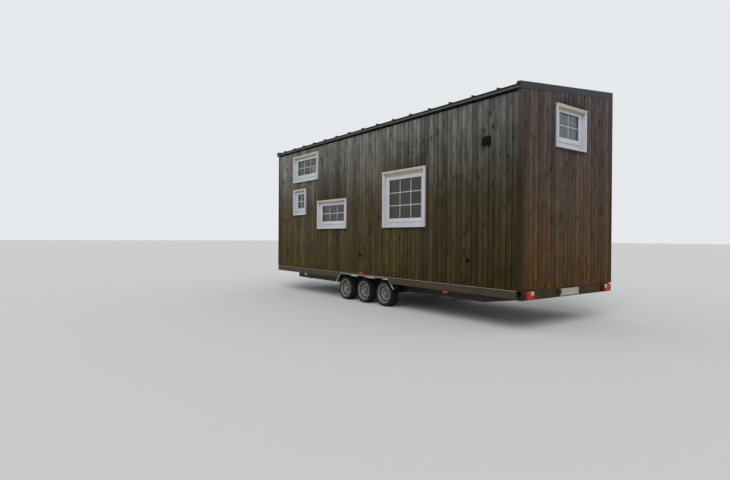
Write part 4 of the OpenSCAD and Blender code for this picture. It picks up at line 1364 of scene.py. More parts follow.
@dataclass
class Casement:
    """One white window: casing boards, drip cap, fixed frame, sash, bars and two panes."""

    size: WindowSize
    wall_t: float
    cap: DripCap = DripCap()
    casing_t: float = 0.028
    casing_out: float = 0.030
    frame_w: float = 0.046
    frame_depth: float = 0.070
    frame_out: float = 0.016
    stop_w: float = 0.006
    stop_in: float = 0.030
    stop_short: float = 0.002
    stile_w: float = 0.056
    rail_extra: float = 0.016
    head_less: float = 0.010
    top_rail_less: float = 0.012
    sash_out: float = 0.010
    sash_in: float = 0.052
    sash_gap: float = 0.0016
    hinge_r: float = 0.0065
    hinge_reach: float = 0.036
    hinge_out: float = 0.012
    hinge_ease: float = 0.0015
    hinges: Pair = (0.16, 0.84)
    bar_w: float = 0.013
    bar_t: float = 0.004
    glass_in: float = 0.050
    glass_t: float = 0.024
    glass_lap: float = 0.012
    pane_t: float = 0.004
    pane_ease: float = 0.0005
    seal_w: float = 0.003
    ease: float = 0.0025

    def ring(
        self,
        shape: Shape,
        outer: Border,
        widths: Border,
        depth: Pair,
        index: int = WindowPart.PAINT,
        ease: float | None = None,
        head: int | None = None,
    ) -> Border:
        """Adds two stiles and the two rails between them.

        Args:
            shape: the shape that gets them.
            outer: left, right, foot and top of the ring.
            widths: widths of the left, right, lower and upper member.
            depth: where the ring starts and ends inwards.
            index: number of its finish.
            ease: radius of its edges.
            head: number of the upper member's finish, if another.

        Returns:
            Left, right, foot and top of the space inside the ring.
        """
        x0, x1, z0, z1 = outer
        left, right, foot, top = widths
        near, far = depth
        soft = self.ease if ease is None else ease
        upper = index if head is None else head
        shape.block((x0, near, z0), (x0 + left, far, z1), soft, index)
        shape.block((x1 - right, near, z0), (x1, far, z1), soft, index)
        shape.block((x0 + left, near, z0), (x1 - right, far, z0 + foot), soft, index)
        shape.block((x0 + left, near, z1 - top), (x1 - right, far, z1), soft, upper)
        return x0 + left, x1 - right, z0 + foot, z1 - top

    def casing(self) -> Shape:
        """Makes the four casing boards and the sloping drip cap over them.

        Returns:
            The casing.
        """
        (x0, z0), (x1, z1) = self.size.low, self.size.high
        depth = (-self.casing_out, self.wall_t)
        shape = Shape()
        # The casing's head board takes the tan of the painted shade under the cap.
        self.ring(shape, (x0, x1, z0, z1), (self.casing_t,) * 4, depth, head=WindowPart.DUSTY)
        shape.add(self.cap.over(x0, x1, z1))
        return shape

    def members(self) -> tuple[Border, Border, Border, Border]:
        """Works out the fixed frame and the sash.

        Returns:
            The frame's outer lines and widths and the sash's outer lines and widths.
        """
        (x0, z0), (x1, z1) = self.size.low, self.size.high
        t, g = self.casing_t, self.sash_gap
        fixed = (x0 + t, x1 - t, z0 + t, z1 - t)
        top = self.frame_w - self.head_less + self.size.head
        widths = (self.frame_w, self.frame_w, self.frame_w + self.rail_extra, top)
        sash = (
            fixed[0] + widths[0] + g, fixed[1] - widths[1] - g, fixed[2] + widths[2] + g,
            fixed[3] - widths[3] - g,
        )
        upper = self.stile_w - self.top_rail_less + self.size.head - g
        rails = (self.stile_w - g, self.stile_w - g, self.stile_w + self.rail_extra - g, upper)
        return fixed, widths, sash, rails

    def sight(self) -> Border:
        """Left, right, foot and top of the glass that shows."""
        _, _, sash, rails = self.members()
        return sash[0] + rails[0], sash[1] - rails[1], sash[2] + rails[2], sash[3] - rails[3]

    def joinery(self) -> Shape:
        """Makes the fixed frame with its stop, the sash, its hinges and the glazing bars.

        Returns:
            The joinery.
        """
        shape = Shape()
        fixed, widths, sash, rails = self.members()
        near = self.glass_in - self.frame_out
        far = near + self.frame_depth
        # The frame's head takes the tan of the painted shade under the cap.
        self.ring(shape, fixed, widths, (near, far), head=WindowPart.DUSTY)
        stop = tuple(w + self.sash_gap + self.stop_w for w in widths)
        self.ring(shape, fixed, stop, (near + self.stop_in, far - self.stop_short), ease=0.0)
        self.ring(shape, sash, rails, (near - self.sash_out, near + self.sash_in))
        self.bars(shape)
        at, out = sash[0] - self.sash_gap / 2, near - self.hinge_out
        for share in self.hinges:
            z = sash[2] + (sash[3] - sash[2]) * share
            low, high = (at, out, z - self.hinge_reach), (at, out, z + self.hinge_reach)
            shape.rod(low, high, self.hinge_r, self.hinge_ease, segments=12)
        return shape

    def bars(self, shape: Shape) -> None:
        """Lays the thin glazing bars on the outer pane.

        Args:
            shape: the shape that gets them.
        """
        x0, x1, z0, z1 = self.sight()
        front, back = self.glass_in - self.bar_t, self.glass_in
        half = self.bar_w / 2
        columns = [x0 + (x1 - x0) * i / self.size.columns for i in range(self.size.columns + 1)]
        for x in columns[1:-1]:
            shape.block((x - half, front, z0), (x + half, back, z1), self.ease)
        for j in range(1, self.size.rows):
            z = z0 + (z1 - z0) * j / self.size.rows
            for a, b in zip(columns, columns[1:]):
                left = a + (half if a > x0 else 0)
                right = b - (half if b < x1 else 0)
                shape.block((left, front, z - half), (right, back, z + half), self.ease)

    def glazing(self) -> Shape:
        """Makes two panes, the spacer between them and a black seal round the sight line, which also stands
        as painted shadow of the reveal at the glass edge.

        Returns:
            The glazing.
        """
        shape = Shape()
        x0, x1, z0, z1 = self.sight()
        lap, pane = self.glass_lap, self.pane_t
        inner = self.glass_in + self.glass_t
        for near in (self.glass_in, inner - pane):
            low, high = (x0 - lap, near, z0 - lap), (x1 + lap, near + pane, z1 + lap)
            shape.block(low, high, self.pane_ease, PanePart.GLASS, 1)
        lines = (x0 - lap, x1 + lap, z0 - lap, z1 + lap)
        between = (self.glass_in + pane, inner - pane)
        self.ring(shape, lines, (lap + pane,) * 4, between, PanePart.SPACER, 0.0)
        # The black seal ring, partly painted shadow of the reveal on the glass edge.
        outside = (self.glass_in - self.bar_t, self.glass_in)
        self.ring(shape, (x0, x1, z0, z1), (self.seal_w,) * 4, outside, PanePart.SEAL, 0.0)
        return shape


@dataclass
class WindowGroup:
    """The windows that share nodes: those of one side wall, or of both end walls."""

    body: Body
    prefix: str
    sides: tuple[Side, ...]
    glass: Finish = Finishes.glass

    def build(self) -> None:
        """Builds casings, joinery and panes as one piece each."""
        parts = {"casings": Shape(), "sashes": Shape(), "glass": Shape()}
        for side in self.sides:
            place = self.body.place(side)
            for size in WINDOWS[side]:
                window = Casement(size, self.body.wall_t)
                parts["casings"].add(window.casing(), place)
                parts["sashes"].add(window.joinery(), place)
                parts["glass"].add(window.glazing(), place)
        # White paint, the tan painted shade of the head members, and the caps' cream painted highlight.
        white = [Finishes.white, Finishes.head_shade, Finishes.cream]
        panes = [self.glass, Finishes.aluminium, Finishes.seal]
        for kind, name, slot, finishes in (
            ("casings", "casing_boards", "white_paint", white),
            ("sashes", "window_joinery", "white_paint", white),
            ("glass", "window_panes", "window_glass", panes),
        ):
            piece = parts[kind].build(f"{self.prefix}_{name}", finishes)
            hand_over(piece, (f"{self.prefix}_{kind}",))


class DoorPart(IntEnum):
    """Numbers of the finishes of the door's frame, leaf and panes."""

    MAIN = 0
    METAL = 1


@dataclass(frozen=True)
class Lever:
    """The door's handle: a plate, a lever on its spindle and the lock below, in metres."""

    from_edge: float = 0.045
    plate_half: float = 0.019
    plate_t: float = 0.008
    below: float = 0.12
    above: float = 0.10
    plate_ease: float = 0.006
    spindle_r: float = 0.011
    spindle_out: float = 0.048
    lever_r: float = 0.0095
    lever_out: float = 0.040
    lever_back: float = 0.008
    lever_l: float = 0.120
    lever_ease: float = 0.004
    lock_r: float = 0.009
    lock_down: float = 0.07
    lock_out: float = 0.010
    lock_in: float = 0.002
    sides: int = 20

    def fit(self, shape: Shape, x: float, near: float, z: float) -> None:
        """Fits the handle to a face of the leaf.

        Args:
            shape: the shape that gets it.
            x: the spindle's place along the wall.
            near: where the leaf's face lies.
            z: the spindle's height.
        """
        metal = DoorPart.METAL
        low = (x - self.plate_half, near - self.plate_t, z - self.below)
        high = (x + self.plate_half, near, z + self.above)
        shape.block(low, high, self.plate_ease, metal)
        out = near - self.lever_out
        lock = z - self.lock_down
        for start, end, radius, ease in (
            ((x, near, z), (x, near - self.spindle_out, z), self.spindle_r, 0.002),
            ((x - self.lever_back, out, z), (x + self.lever_l, out, z), self.lever_r, self.lever_ease),
            ((x, near - self.lock_out, lock), (x, near - self.lock_in, lock), self.lock_r, 0.001),
        ):
            shape.rod(start, end, radius, ease, metal, self.sides)


@dataclass
class Door:
    """The glazed entrance door in the right wall."""

    body: Body
    size: DoorSize = DOOR
    cap: DripCap = DripCap(out=0.050, fall=0.006)
    lever: Lever = Lever()
    casing_out: float = 0.030
    leaf_near: float = 0.030
    leaf_far: float = 0.086
    leaf_gap: float = 0.003
    low_rail: float = 1.3
    panel_in: float = 0.014
    field_edge: float = 0.035
    field_in: float = 0.003
    field_back: float = 0.016
    field_ease: float = 0.010
    glass_near: float = 0.050
    glass_t: float = 0.024
    pane_t: float = 0.004
    pane_ease: float = 0.0005
    spacer_w: float = 0.006
    bar_t: float = 0.010
    bar_w: float = 0.020
    rows: int = 4
    hinge_r: float = 0.008
    hinge_reach: float = 0.05
    hinge_out: float = 0.006
    hinge_ease: float = 0.002
    hinges: Point = (0.1, 0.5, 0.9)
    ease: float = 0.0025

    def lines(self) -> Border:
        """Works out the leaf's place in the frame.

        Returns:
            Left, right, foot and top of the leaf.
        """
        (x0, z0), (x1, z1) = self.size.low, self.size.high
        w = self.size.frame_w
        return x0 + w, x1 - w, z0 + self.size.threshold, z1 - w

    def surround(self) -> Shape:
        """Makes the frame with its threshold and drip cap.

        Returns:
            The frame.
        """
        (x0, z0), (x1, z1) = self.size.low, self.size.high
        a, b, foot, top = self.lines()
        shape = Shape()
        near, far = -self.casing_out, self.body.wall_t
        shape.block((x0, near, z0), (a, far, z1), self.ease)
        shape.block((b, near, z0), (x1, far, z1), self.ease)
        shape.block((a, near, top), (b, far, z1), self.ease)
        shape.block((a, near, z0), (b, far, foot), self.ease, DoorPart.METAL)
        shape.add(self.cap.over(x0, x1, z1))
        return shape

    def leaf(self) -> Shape:
        """Makes the leaf with its raised panel, glazing bars, hinges and handle.

        Returns:
            The leaf.
        """
        gap, w = self.leaf_gap, self.size.stile_w
        a, b, foot, top = self.lines()
        a, b, foot, top = a + gap, b - gap, foot + gap, top - gap
        near, far = self.leaf_near, self.leaf_far
        low_z, panel_top = foot + w * self.low_rail, foot + self.size.panel_h
        shape = Shape()
        for x0, x1, z0, z1 in (
            (a, a + w, foot, top),
            (b - w, b, foot, top),
            (a + w, b - w, top - w, top),
            (a + w, b - w, panel_top - w, panel_top),
            (a + w, b - w, foot, low_z),
        ):
            shape.block((x0, near, z0), (x1, far, z1), self.ease)
        panel_low = (a + w, near + self.panel_in, low_z)
        shape.block(panel_low, (b - w, far - self.panel_in, panel_top - w))
        rim = self.field_edge
        field_low = (a + w + rim, near + self.field_in, low_z + rim)
        field_high = (b - w - rim, near + self.field_back, panel_top - w - rim)
        shape.block(field_low, field_high, self.field_ease, segments=3)
        self.bars(shape, (a + w, b - w, panel_top, top - w))
        at, out = b + gap / 2, near - self.hinge_out
        for share in self.hinges:
            z = foot + (top - foot) * share
            low, high = (at, out, z - self.hinge_reach), (at, out, z + self.hinge_reach)
            shape.rod(low, high, self.hinge_r, self.hinge_ease, DoorPart.METAL, 16)
        handle = self.size.sill + self.size.threshold + self.size.handle_z
        self.lever.fit(shape, a + self.lever.from_edge, near, handle)
        return shape

    def bars(self, shape: Shape, light: Border) -> None:
        """Divides the glazed part by one upright bar and three level ones.

        Args:
            shape: the shape that gets the bars.
            light: left, right, foot and top of the glass that shows.
        """
        left, right, low, high = light
        half = self.bar_w / 2
        middle = (left + right) / 2
        front, back = self.glass_near - self.bar_t, self.glass_near
        shape.block((middle - half, front, low), (middle + half, back, high), self.ease)
        for j in range(1, self.rows):
            z = low + (high - low) * j / self.rows
            for x0, x1 in ((left, middle - half), (middle + half, right)):
                shape.block((x0, front, z - half), (x1, back, z + half), self.ease)

    def panes(self) -> Shape:
        """Makes the two panes of the door and the spacer at their sides.

        Returns:
            The panes.
        """
        a, b, foot, top = self.lines()
        w, pane = self.size.stile_w, self.pane_t
        x0, x1, z0, z1 = a + w, b - w, foot + self.size.panel_h, top - w
        inner = self.glass_near + self.glass_t - pane
        shape = Shape()
        for near in (self.glass_near, inner):
            low, high = (x0 - pane, near, z0 - pane), (x1 + pane, near + pane, z1 + pane)
            shape.block(low, high, self.pane_ease, DoorPart.MAIN, 1)
        for left, right in ((x0 - pane, x0 + self.spacer_w), (x1 - self.spacer_w, x1 + pane)):
            low, high = (left, self.glass_near + pane, z0 - pane), (right, inner, z1 + pane)
            shape.block(low, high, 0.0, DoorPart.METAL)
        return shape

    def build(self) -> None:
        """Builds frame, leaf and panes."""
        place = self.body.place(Side.RIGHT)
        # The door's cap takes the cream paint, a painted highlight of its lit top.
        finishes = [Finishes.white, Finishes.aluminium, Finishes.cream]
        frame_piece = self.surround().build("door_surround", finishes, place)
        hand_over(frame_piece, ("door_frame",))
        leaf = self.leaf().build("entrance_door", [Finishes.white, Finishes.aluminium], place)
        hand_over(leaf, ("door_leaf",))
        panes = self.panes().build("door_panes", [Finishes.glass, Finishes.aluminium], place)
        hand_over(panes, ("door_glass",))


def bend(start: Pair, pull: Pair, end: Pair, count: int) -> list[Pair]:
    """Points along a curve that leaves one point towards another and ends at a third.

    Args:
        start: the first point, which is left out.
        pull: the point that pulls the curve.
        end: the last point.
        count: number of points.

    Returns:
        The points after the first.
    """
    first, middle, last = Vector(start), Vector(pull), Vector(end)
    points = []
    for i in range(1, count + 1):
        t = i / count
        p = first * (1 - t) ** 2 + middle * 2 * t * (1 - t) + last * t * t
        points.append((p.x, p.y))
    return points


@dataclass
class Tyre:
    """A road tyre: rounded side walls, four ribs and cut shoulders."""

    outer_r: float = 0.240
    bead_r: float = 0.169
    half_w: float = 0.0975
    grooves: Pair = (0.040, 0.0135)
    groove_w: float = 0.008
    groove_depth: float = 0.007
    groove_lean: float = 0.0015
    crown: float = 0.0011
    cut_depth: float = 0.006
    cut_inset: float = 0.0045
    cut_reach: float = 0.013
    cut_between: Pair = (0.58, 0.93)
    steps: int = 96

    def outline(self) -> list[Pair]:
        """Draws the section: side wall, shoulder, grooved tread, and the hollow inside.

        Returns:
            The closed section of the tyre as pairs of radius and height.
        """
        r, b, h = self.outer_r, self.bead_r, self.half_w
        half = [(b, h * 0.50), (b, h * 0.66), (b + 0.007, h * 0.775), (b + 0.018, h * 0.80)]
        half += bend(half[-1], (b + 0.019, h * 0.92), (b + 0.023, h * 0.94), 3)
        half += [(b + 0.026, h * 0.95), (b + 0.0275, h * 0.972), (b + 0.031, h * 0.98)]
        for pull, end, count in (
            ((r - 0.030, h * 1.012), (r - 0.020, h * 0.945), 6),
            ((r - 0.009, h * 0.90), (r - 0.0055, h * 0.80), 4),
            ((r - 0.0025, h * 0.72), (r - 0.0014, h * 0.60), 3),
        ):
            half += bend(half[-1], pull, end, count)
        edge = self.groove_w / 2
        for centre in self.grooves:
            top = r - self.crown * (centre - edge) / self.grooves[0]
            half += [
                (top, centre + edge),
                (top - self.groove_depth, centre + edge - self.groove_lean),
                (top - self.groove_depth, centre - edge + self.groove_lean),
                (top, centre - edge),
            ]
        inner = [(r - 0.014, -h * 0.5), (r - 0.014, h * 0.5), (r - 0.0185, h * 0.78), (b + 0.023, h * 0.74)]
        lower = [(radius, -height) for radius, height in reversed(half)]
        under = [(b + 0.023, -h * 0.74), (r - 0.0185, -h * 0.78)]
        return half + lower + under + inner

    def is_cut(self, face: bmesh.types.BMFace) -> bool:
        """Tells whether a face lies on a shoulder, in every second segment.

        Args:
            face: the face.

        Returns:
            True where the shoulder is cut in.
        """
        centre = face.calc_center_median()
        turn = int((math.atan2(centre.y, centre.x) / math.tau % 1) * self.steps)
        low, high = (self.half_w * share for share in self.cut_between)
        outside = math.hypot(centre.x, centre.y) >= self.outer_r - self.cut_reach
        return outside and low < abs(centre.z) < high and turn % 2 == 0

    def shape(self) -> Shape:
        """Turns the section and cuts the shoulders.

        Returns:
            The tyre round Z.
        """
        shape = Shape()
        cuts = [f for f in shape.revolve(self.outline(), self.steps) if self.is_cut(f)]
        bmesh.ops.inset_region(shape.bm, faces=cuts, thickness=self.cut_inset, depth=-self.cut_depth)
        return shape


class WheelPart(IntEnum):
    """Numbers of the finishes of a steel wheel."""

    DISH = 0
    BOLTS = 1
    VALVE = 2
    BRIGHT = 3


@dataclass
class Rim:
    """A pressed steel wheel: dished centre with round hand holes in a rolled rim."""

    bead_r: float = 0.1687
    half_w: float = 0.0975
    holes: int = 10
    hole_r: float = 0.012
    hole_circle: float = 0.1187
    hole_between: Pair = (-0.02, 0.08)
    well_in: float = 0.004
    well_out: float = 0.55
    ring_between: Pair = (0.074, 0.038)
    bolts: int = 5
    bolt_circle: float = 0.056
    bolt_turn: float = 18.0
    seat_r: Pair = (0.0135, 0.0115)
    nut_r: float = 0.0095
    stub_r: float = 0.0203
    cap_steps: int = 48
    steps: int = 96

    def shell(self) -> Shape:
        """Turns the rolled rim: bright at the flange, and darker in its well as painted shade with brake
        dust.

        Returns:
            The rolled rim.
        """
        b, h = self.bead_r, self.half_w
        barrel = [
            (b + 0.0132, h * 0.895), (b + 0.014, h * 0.865), (b + 0.0128, h * 0.82), (b + 0.004, h * 0.805),
            (b + 0.0005, h * 0.78), (b, h * 0.72), (b, h * 0.50), (b - 0.018, h * 0.36),
            (b - 0.018, -h * 0.36), (b, -h * 0.50), (b, -h * 0.72), (b + 0.002, -h * 0.80),
            (b + 0.0136, -h * 0.82), (b + 0.0136, -h * 0.895), (b + 0.009, -h * 0.90),
            (b - 0.004, -h * 0.85), (b - 0.005, -h * 0.56), (b - 0.023, -h * 0.42), (b - 0.023, h * 0.42),
            (b - 0.005, h * 0.56), (b - 0.005, h * 0.83), (b - 0.001, h * 0.875), (b + 0.008, h * 0.90),
        ]
        shape = Shape()
        for face in shape.revolve(barrel, self.steps, WheelPart.BRIGHT):
            middle = face.calc_center_median()
            if middle.xy.length < b - self.well_in and middle.z < h * self.well_out:
                # The well takes the darker dish finish: painted shade with brake dust.
                face.material_index = WheelPart.DISH
        return shape

    def centre(self) -> Shape:
        """Turns the dished centre with its hub seat and its raised ring, which stays bright; the rest takes
        the darker dish finish, painted shade with brake dust.

        Returns:
            The centre.
        """
        b, h = self.bead_r, self.half_w
        front = [(b - 0.0195, h * 0.08)]
        for start, pull, end, count in (
            ((b - 0.0195, h * 0.08), (b - 0.026, h * 0.40), (b - 0.044, h * 0.47), 6),
            ((b - 0.044, h * 0.47), (b - 0.056, h * 0.51), (b - 0.068, h * 0.44), 5),
            ((b - 0.068, h * 0.44), (0.084, h * 0.22), (0.074, h * 0.215), 4),
        ):
            front += bend(start, pull, end, count)
        front += [(0.046, h * 0.215)]
        front += bend((0.046, h * 0.215), (0.040, h * 0.22), (0.038, h * 0.30), 3)
        front += [(0.0375, h * 0.40)]
        back = [
            (0.0345, h * 0.40), (0.034, h * 0.14), (0.074, h * 0.14), (b - 0.068, h * 0.36),
            (b - 0.048, h * 0.38), (b - 0.034, h * 0.24), (b - 0.0225, -h * 0.02), (b - 0.0195, -h * 0.02),
        ]
        low, high = (b - inset for inset in self.ring_between)
        shape = Shape()
        for face in shape.revolve(front + back, self.steps):
            if low < face.calc_center_median().xy.length < high:
                face.material_index = WheelPart.BRIGHT
        return shape

    def hub(self) -> Shape:
        """Makes the hub barrel, its grease cap, the wheel bolts and the valve.

        Returns:
            The hub.
        """
        h, stub = self.half_w, self.stub_r
        shape = Shape()
        cap = [
            (0.0, h * 0.60), (0.012, h * 0.598), (0.022, h * 0.585), (0.029, h * 0.55), (0.031, h * 0.50),
            (0.031, h * 0.44), (0.0335, h * 0.43), (0.0335, h * 0.38), (stub, h * 0.38),
            (stub, h * 0.50), (0.0, h * 0.52),
        ]
        shape.revolve(cap, self.cap_steps, WheelPart.BRIGHT, closed=False)
        barrel = [
            (0.100, -h * 0.72), (0.104, -h * 0.66), (0.104, h * 0.02), (0.078, h * 0.13),
            (stub, h * 0.13), (stub, -h * 0.72),
        ]
        shape.revolve(barrel, self.steps)
        for i in range(self.bolts):
            turn = math.tau * i / self.bolts + math.radians(self.bolt_turn)
            x, y = self.bolt_circle * math.cos(turn), self.bolt_circle * math.sin(turn)
            seat, seat_tip = self.seat_r
            shape.rod((x, y, h * 0.21), (x, y, h * 0.25), seat, 0.0, WheelPart.BOLTS, 20, seat_tip)
            shape.rod((x, y, h * 0.24), (x, y, h * 0.39), self.nut_r, 0.0015, WheelPart.BOLTS, 6)
        b = self.bead_r
        for start, end, radius in (
            ((b - 0.036, 0.0, h * 0.30), (b - 0.030, 0.0, h * 0.66), 0.004),
            ((b - 0.0305, 0.0, h * 0.63), (b - 0.029, 0.0, h * 0.72), 0.0055),
        ):
            shape.rod(start, end, radius, 0.001, WheelPart.VALVE, 12)
        return shape

    def piece(self, name: str, place: Matrix) -> Piece:
        """Cuts the hand holes and joins rim, centre and hub.

        Args:
            name: the piece's name.
            place: its move.

        Returns:
            The rim as one piece.
        """
        finishes = [Finishes.dish, Finishes.zinc, Finishes.seal, Finishes.rim]
        dish = self.centre().build("dish", finishes)
        cutter = Shape()
        low, high = self.hole_between
        for i in range(self.holes):
            turn = math.tau * i / self.holes
            x, y = self.hole_circle * math.cos(turn), self.hole_circle * math.sin(turn)
            cutter.rod((x, y, low), (x, y, high), self.hole_r, segments=24)
        subtract(dish, cutter)
        shape = Shape()
        shape.bm.from_mesh(dish.data)
        bpy.data.meshes.remove(dish.data)
        shape.add(self.shell())
        shape.add(self.hub())
        return shape.build(name, finishes, place)


class Axle(Enum):
    """The three axles, from the drawbar to the rear."""

    FRONT = "front"
    MIDDLE = "middle"
    REAR = "rear"


@dataclass
class Wheels:
    """The six wheels, each a rim and a tyre on its own body."""

    rim: Rim = field(default_factory=Rim)
    tyre: Tyre = field(default_factory=Tyre)
    roll_step: float = 23.0

    def build(self) -> None:
        """Builds a rim and a tyre at each hub, each pair stopped at a turn of its own."""
        for number, (hand, turn) in enumerate(((Side.LEFT, 90), (Side.RIGHT, -90))):
            for axle in Axle:
                name = f"{hand.value}_{axle.value}"
                low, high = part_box(f"{name}_tyre")
                rolled = self.roll_step * (number + 2) * len(axle.value)
                roll = Matrix.Rotation(math.radians(rolled), 4, "Z")
                upright = Matrix.Rotation(math.radians(turn), 4, "X")
                place = Matrix.Translation((low + high) / 2) @ upright @ roll
                tyre = self.tyre.shape().build(f"{name}_road_tyre", [Finishes.rubber], place)
                hand_over(tyre, (f"{name}_tyre",), f"{name}_wheel")
                rim = self.rim.piece(f"{name}_steel_wheel", place)
                hand_over(rim, (f"{name}_rim",), f"{name}_wheel")


class LampPart(IntEnum):
    """Numbers of the finishes of a tail lamp."""

    HOUSING = 0
    RED = 1
    DEEP_RED = 2
    CLEAR = 3
    SCREW = 4


class FlatPart(IntEnum):
    """Numbers of the finishes of the plate and of the side markers."""

    FACE = 0
    HOLDER = 1


@dataclass
class Lamps:
    """Tail lamps, side markers and the bare number plate."""

    body: Body
    gap: float = 0.0015
    lamp_w: float = 0.240
    lamp_edge: float = 0.004
    housing_t: float = 0.016
    lens_lap: float = 0.002
    splits: Point = (0.18, 0.56, 0.80)
    shelf: float = 0.50
    screw_in: float = 0.012
    plate_rim: float = 0.004
    marker_edge: float = 0.004
    marker_split: float = 0.65

    def tail_lamp(self) -> Shape:
        """Draws one tail lamp on the rear wall's left half: a housing and five chambers.

        Returns:
            The lamp.
        """
        low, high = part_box("tail_lamps")
        x0, x1 = low.y, low.y + self.lamp_w
        z0, z1 = low.z, high.z
        back, front = self.body.rear_x - low.x, self.body.rear_x - high.x
        shape = Shape()
        shape.block((x0, back - self.housing_t, z0), (x1, back, z1), 0.005, LampPart.HOUSING)
        edge, g = self.lamp_edge, self.gap / 2
        a, b, foot, top = x0 + edge, x1 - edge, z0 + edge, z1 - edge
        dark, split, end = (a + (b - a) * share for share in self.splits)
        shelf = foot + (top - foot) * self.shelf
        lens = back - self.housing_t + self.lens_lap
        for left, right, under, over, near, ease, part, steps in (
            (a, dark - g, foot, top, front + 0.004, 0.012, LampPart.DEEP_RED, 4),
            (dark + g, split - g, foot, top, front, 0.012, LampPart.RED, 4),
            (split + g, end - g, shelf + g, top, front, 0.005, LampPart.CLEAR, 3),
            (split + g, end - g, foot, shelf - g, front, 0.005, LampPart.RED, 3),
            (end + g, b, foot, top, front + 0.002, 0.012, LampPart.DEEP_RED, 4),
        ):
            shape.block((left, near, under), (right, lens, over), ease, part, steps)
        z = z0 + self.screw_in
        for x in (a + self.screw_in, b - self.screw_in):
            shape.rod((x, front, z), (x, front + 0.006, z), 0.004, 0.0008, LampPart.SCREW, 12)
        return shape

    def plate(self) -> Shape:
        """Makes the bare plate with its pressed rim, screwed to a black holder.

        Returns:
            The plate.
        """
        low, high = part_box("number_plate")
        x0, x1, z0, z1 = low.y, high.y, low.z, high.z
        back, front = self.body.rear_x - low.x, self.body.rear_x - high.x
        shape = Shape()
        shape.block((x0, front + 0.002, z0), (x1, back, z1), 0.003, FlatPart.HOLDER)
        rim, middle = self.plate_rim, (z0 + z1) / 2
        plate = Shape()
        plate_high = (x1 - rim, front + 0.0022, z1 - rim)
        plate.block((x0 + rim, front, z0 + rim), plate_high, 0.0008, FlatPart.FACE, 1)
        faces = [f for f in plate.bm.faces if f.normal.y < -0.99 and f.calc_area() > 0.01]
        for thickness, depth in ((0.005, 0.0), (0.0015, -0.0012)):
            bmesh.ops.inset_region(plate.bm, faces=faces, thickness=thickness, depth=depth)
        shape.add(plate)
        for x in (x0 + 0.020, x1 - 0.020):
            start, end = (x, front + 0.0005, middle), (x, front + 0.004, middle)
            shape.rod(start, end, 0.006, 0.001, FlatPart.HOLDER, 16)
        return shape

    def marker(self, low: Vector, high: Vector, out: int) -> Shape:
        """Makes a side marker: black foot, ribbed lens.

        Args:
            low: lowest corner of its box.
            high: highest corner of its box.
            out: -1 where it faces to the left, 1 to the right.

        Returns:
            The marker in its place.
        """
        shape = Shape()
        share = self.marker_split if out < 0 else 1 - self.marker_split
        split = low.y + (high.y - low.y) * share
        near, far = (low.y, split) if out < 0 else (split, high.y)
        foot = (split, high.y) if out < 0 else (low.y, split)
        shape.block((low.x, foot[0], low.z), (high.x, foot[1], high.z), 0.003, FlatPart.HOLDER)
        edge = self.marker_edge
        lens_low, lens_high = (low.x + edge, near, low.z + edge), (high.x - edge, far, high.z - edge)
        shape.block(lens_low, lens_high, 0.006, FlatPart.FACE, 3)
        return shape

    def markers(self, node: str) -> Shape:
        """Makes all markers of one node, told apart by where their corners lie.

        Args:
            node: the node's name.

        Returns:
            The markers.
        """
        bm = bmesh.new()
        bm.from_mesh(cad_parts[node].data)
        bmesh.ops.remove_doubles(bm, verts=bm.verts, dist=WELD)
        left = set(bm.verts)
        shape = Shape()
        while left:
            island, front = set(), {left.pop()}
            while front:
                vert = front.pop()
                island.add(vert)
                front |= {e.other_vert(vert) for e in vert.link_edges} - island
            left -= island
            low = Vector([min(v.co[i] for v in island) for i in range(3)])
            high = Vector([max(v.co[i] for v in island) for i in range(3)])
            shape.add(self.marker(low, high, -1 if low.y < 0 else 1))
        bm.free()
        return shape

    def build(self) -> None:
        """Builds both tail lamps, the plate and the markers."""
        place = self.body.place(Side.REAR)
        pair = Shape()
        pair.add(self.tail_lamp(), place)
        mirror = Matrix.Translation((0, 2 * self.body.chassis_y, 0)) @ Matrix.Scale(-1, 4, (0, 1, 0))
        pair.add(self.tail_lamp(), mirror @ place)
        lenses = [Finishes.plastic, Finishes.red, Finishes.deep_red, Finishes.clear, Finishes.zinc]
        hand_over(pair.build("tail_lamp_clusters", lenses), ("tail_lamps",))
        plate = self.plate().build("bare_plate", [Finishes.plate, Finishes.plastic], place)
        hand_over(plate, ("number_plate",))
        for node, lens in (("amber_markers", Finishes.amber), ("clear_markers", Finishes.clear)):
            piece = self.markers(node).build(f"{node}_lenses", [lens, Finishes.plastic])
            hand_over(piece, (node,))


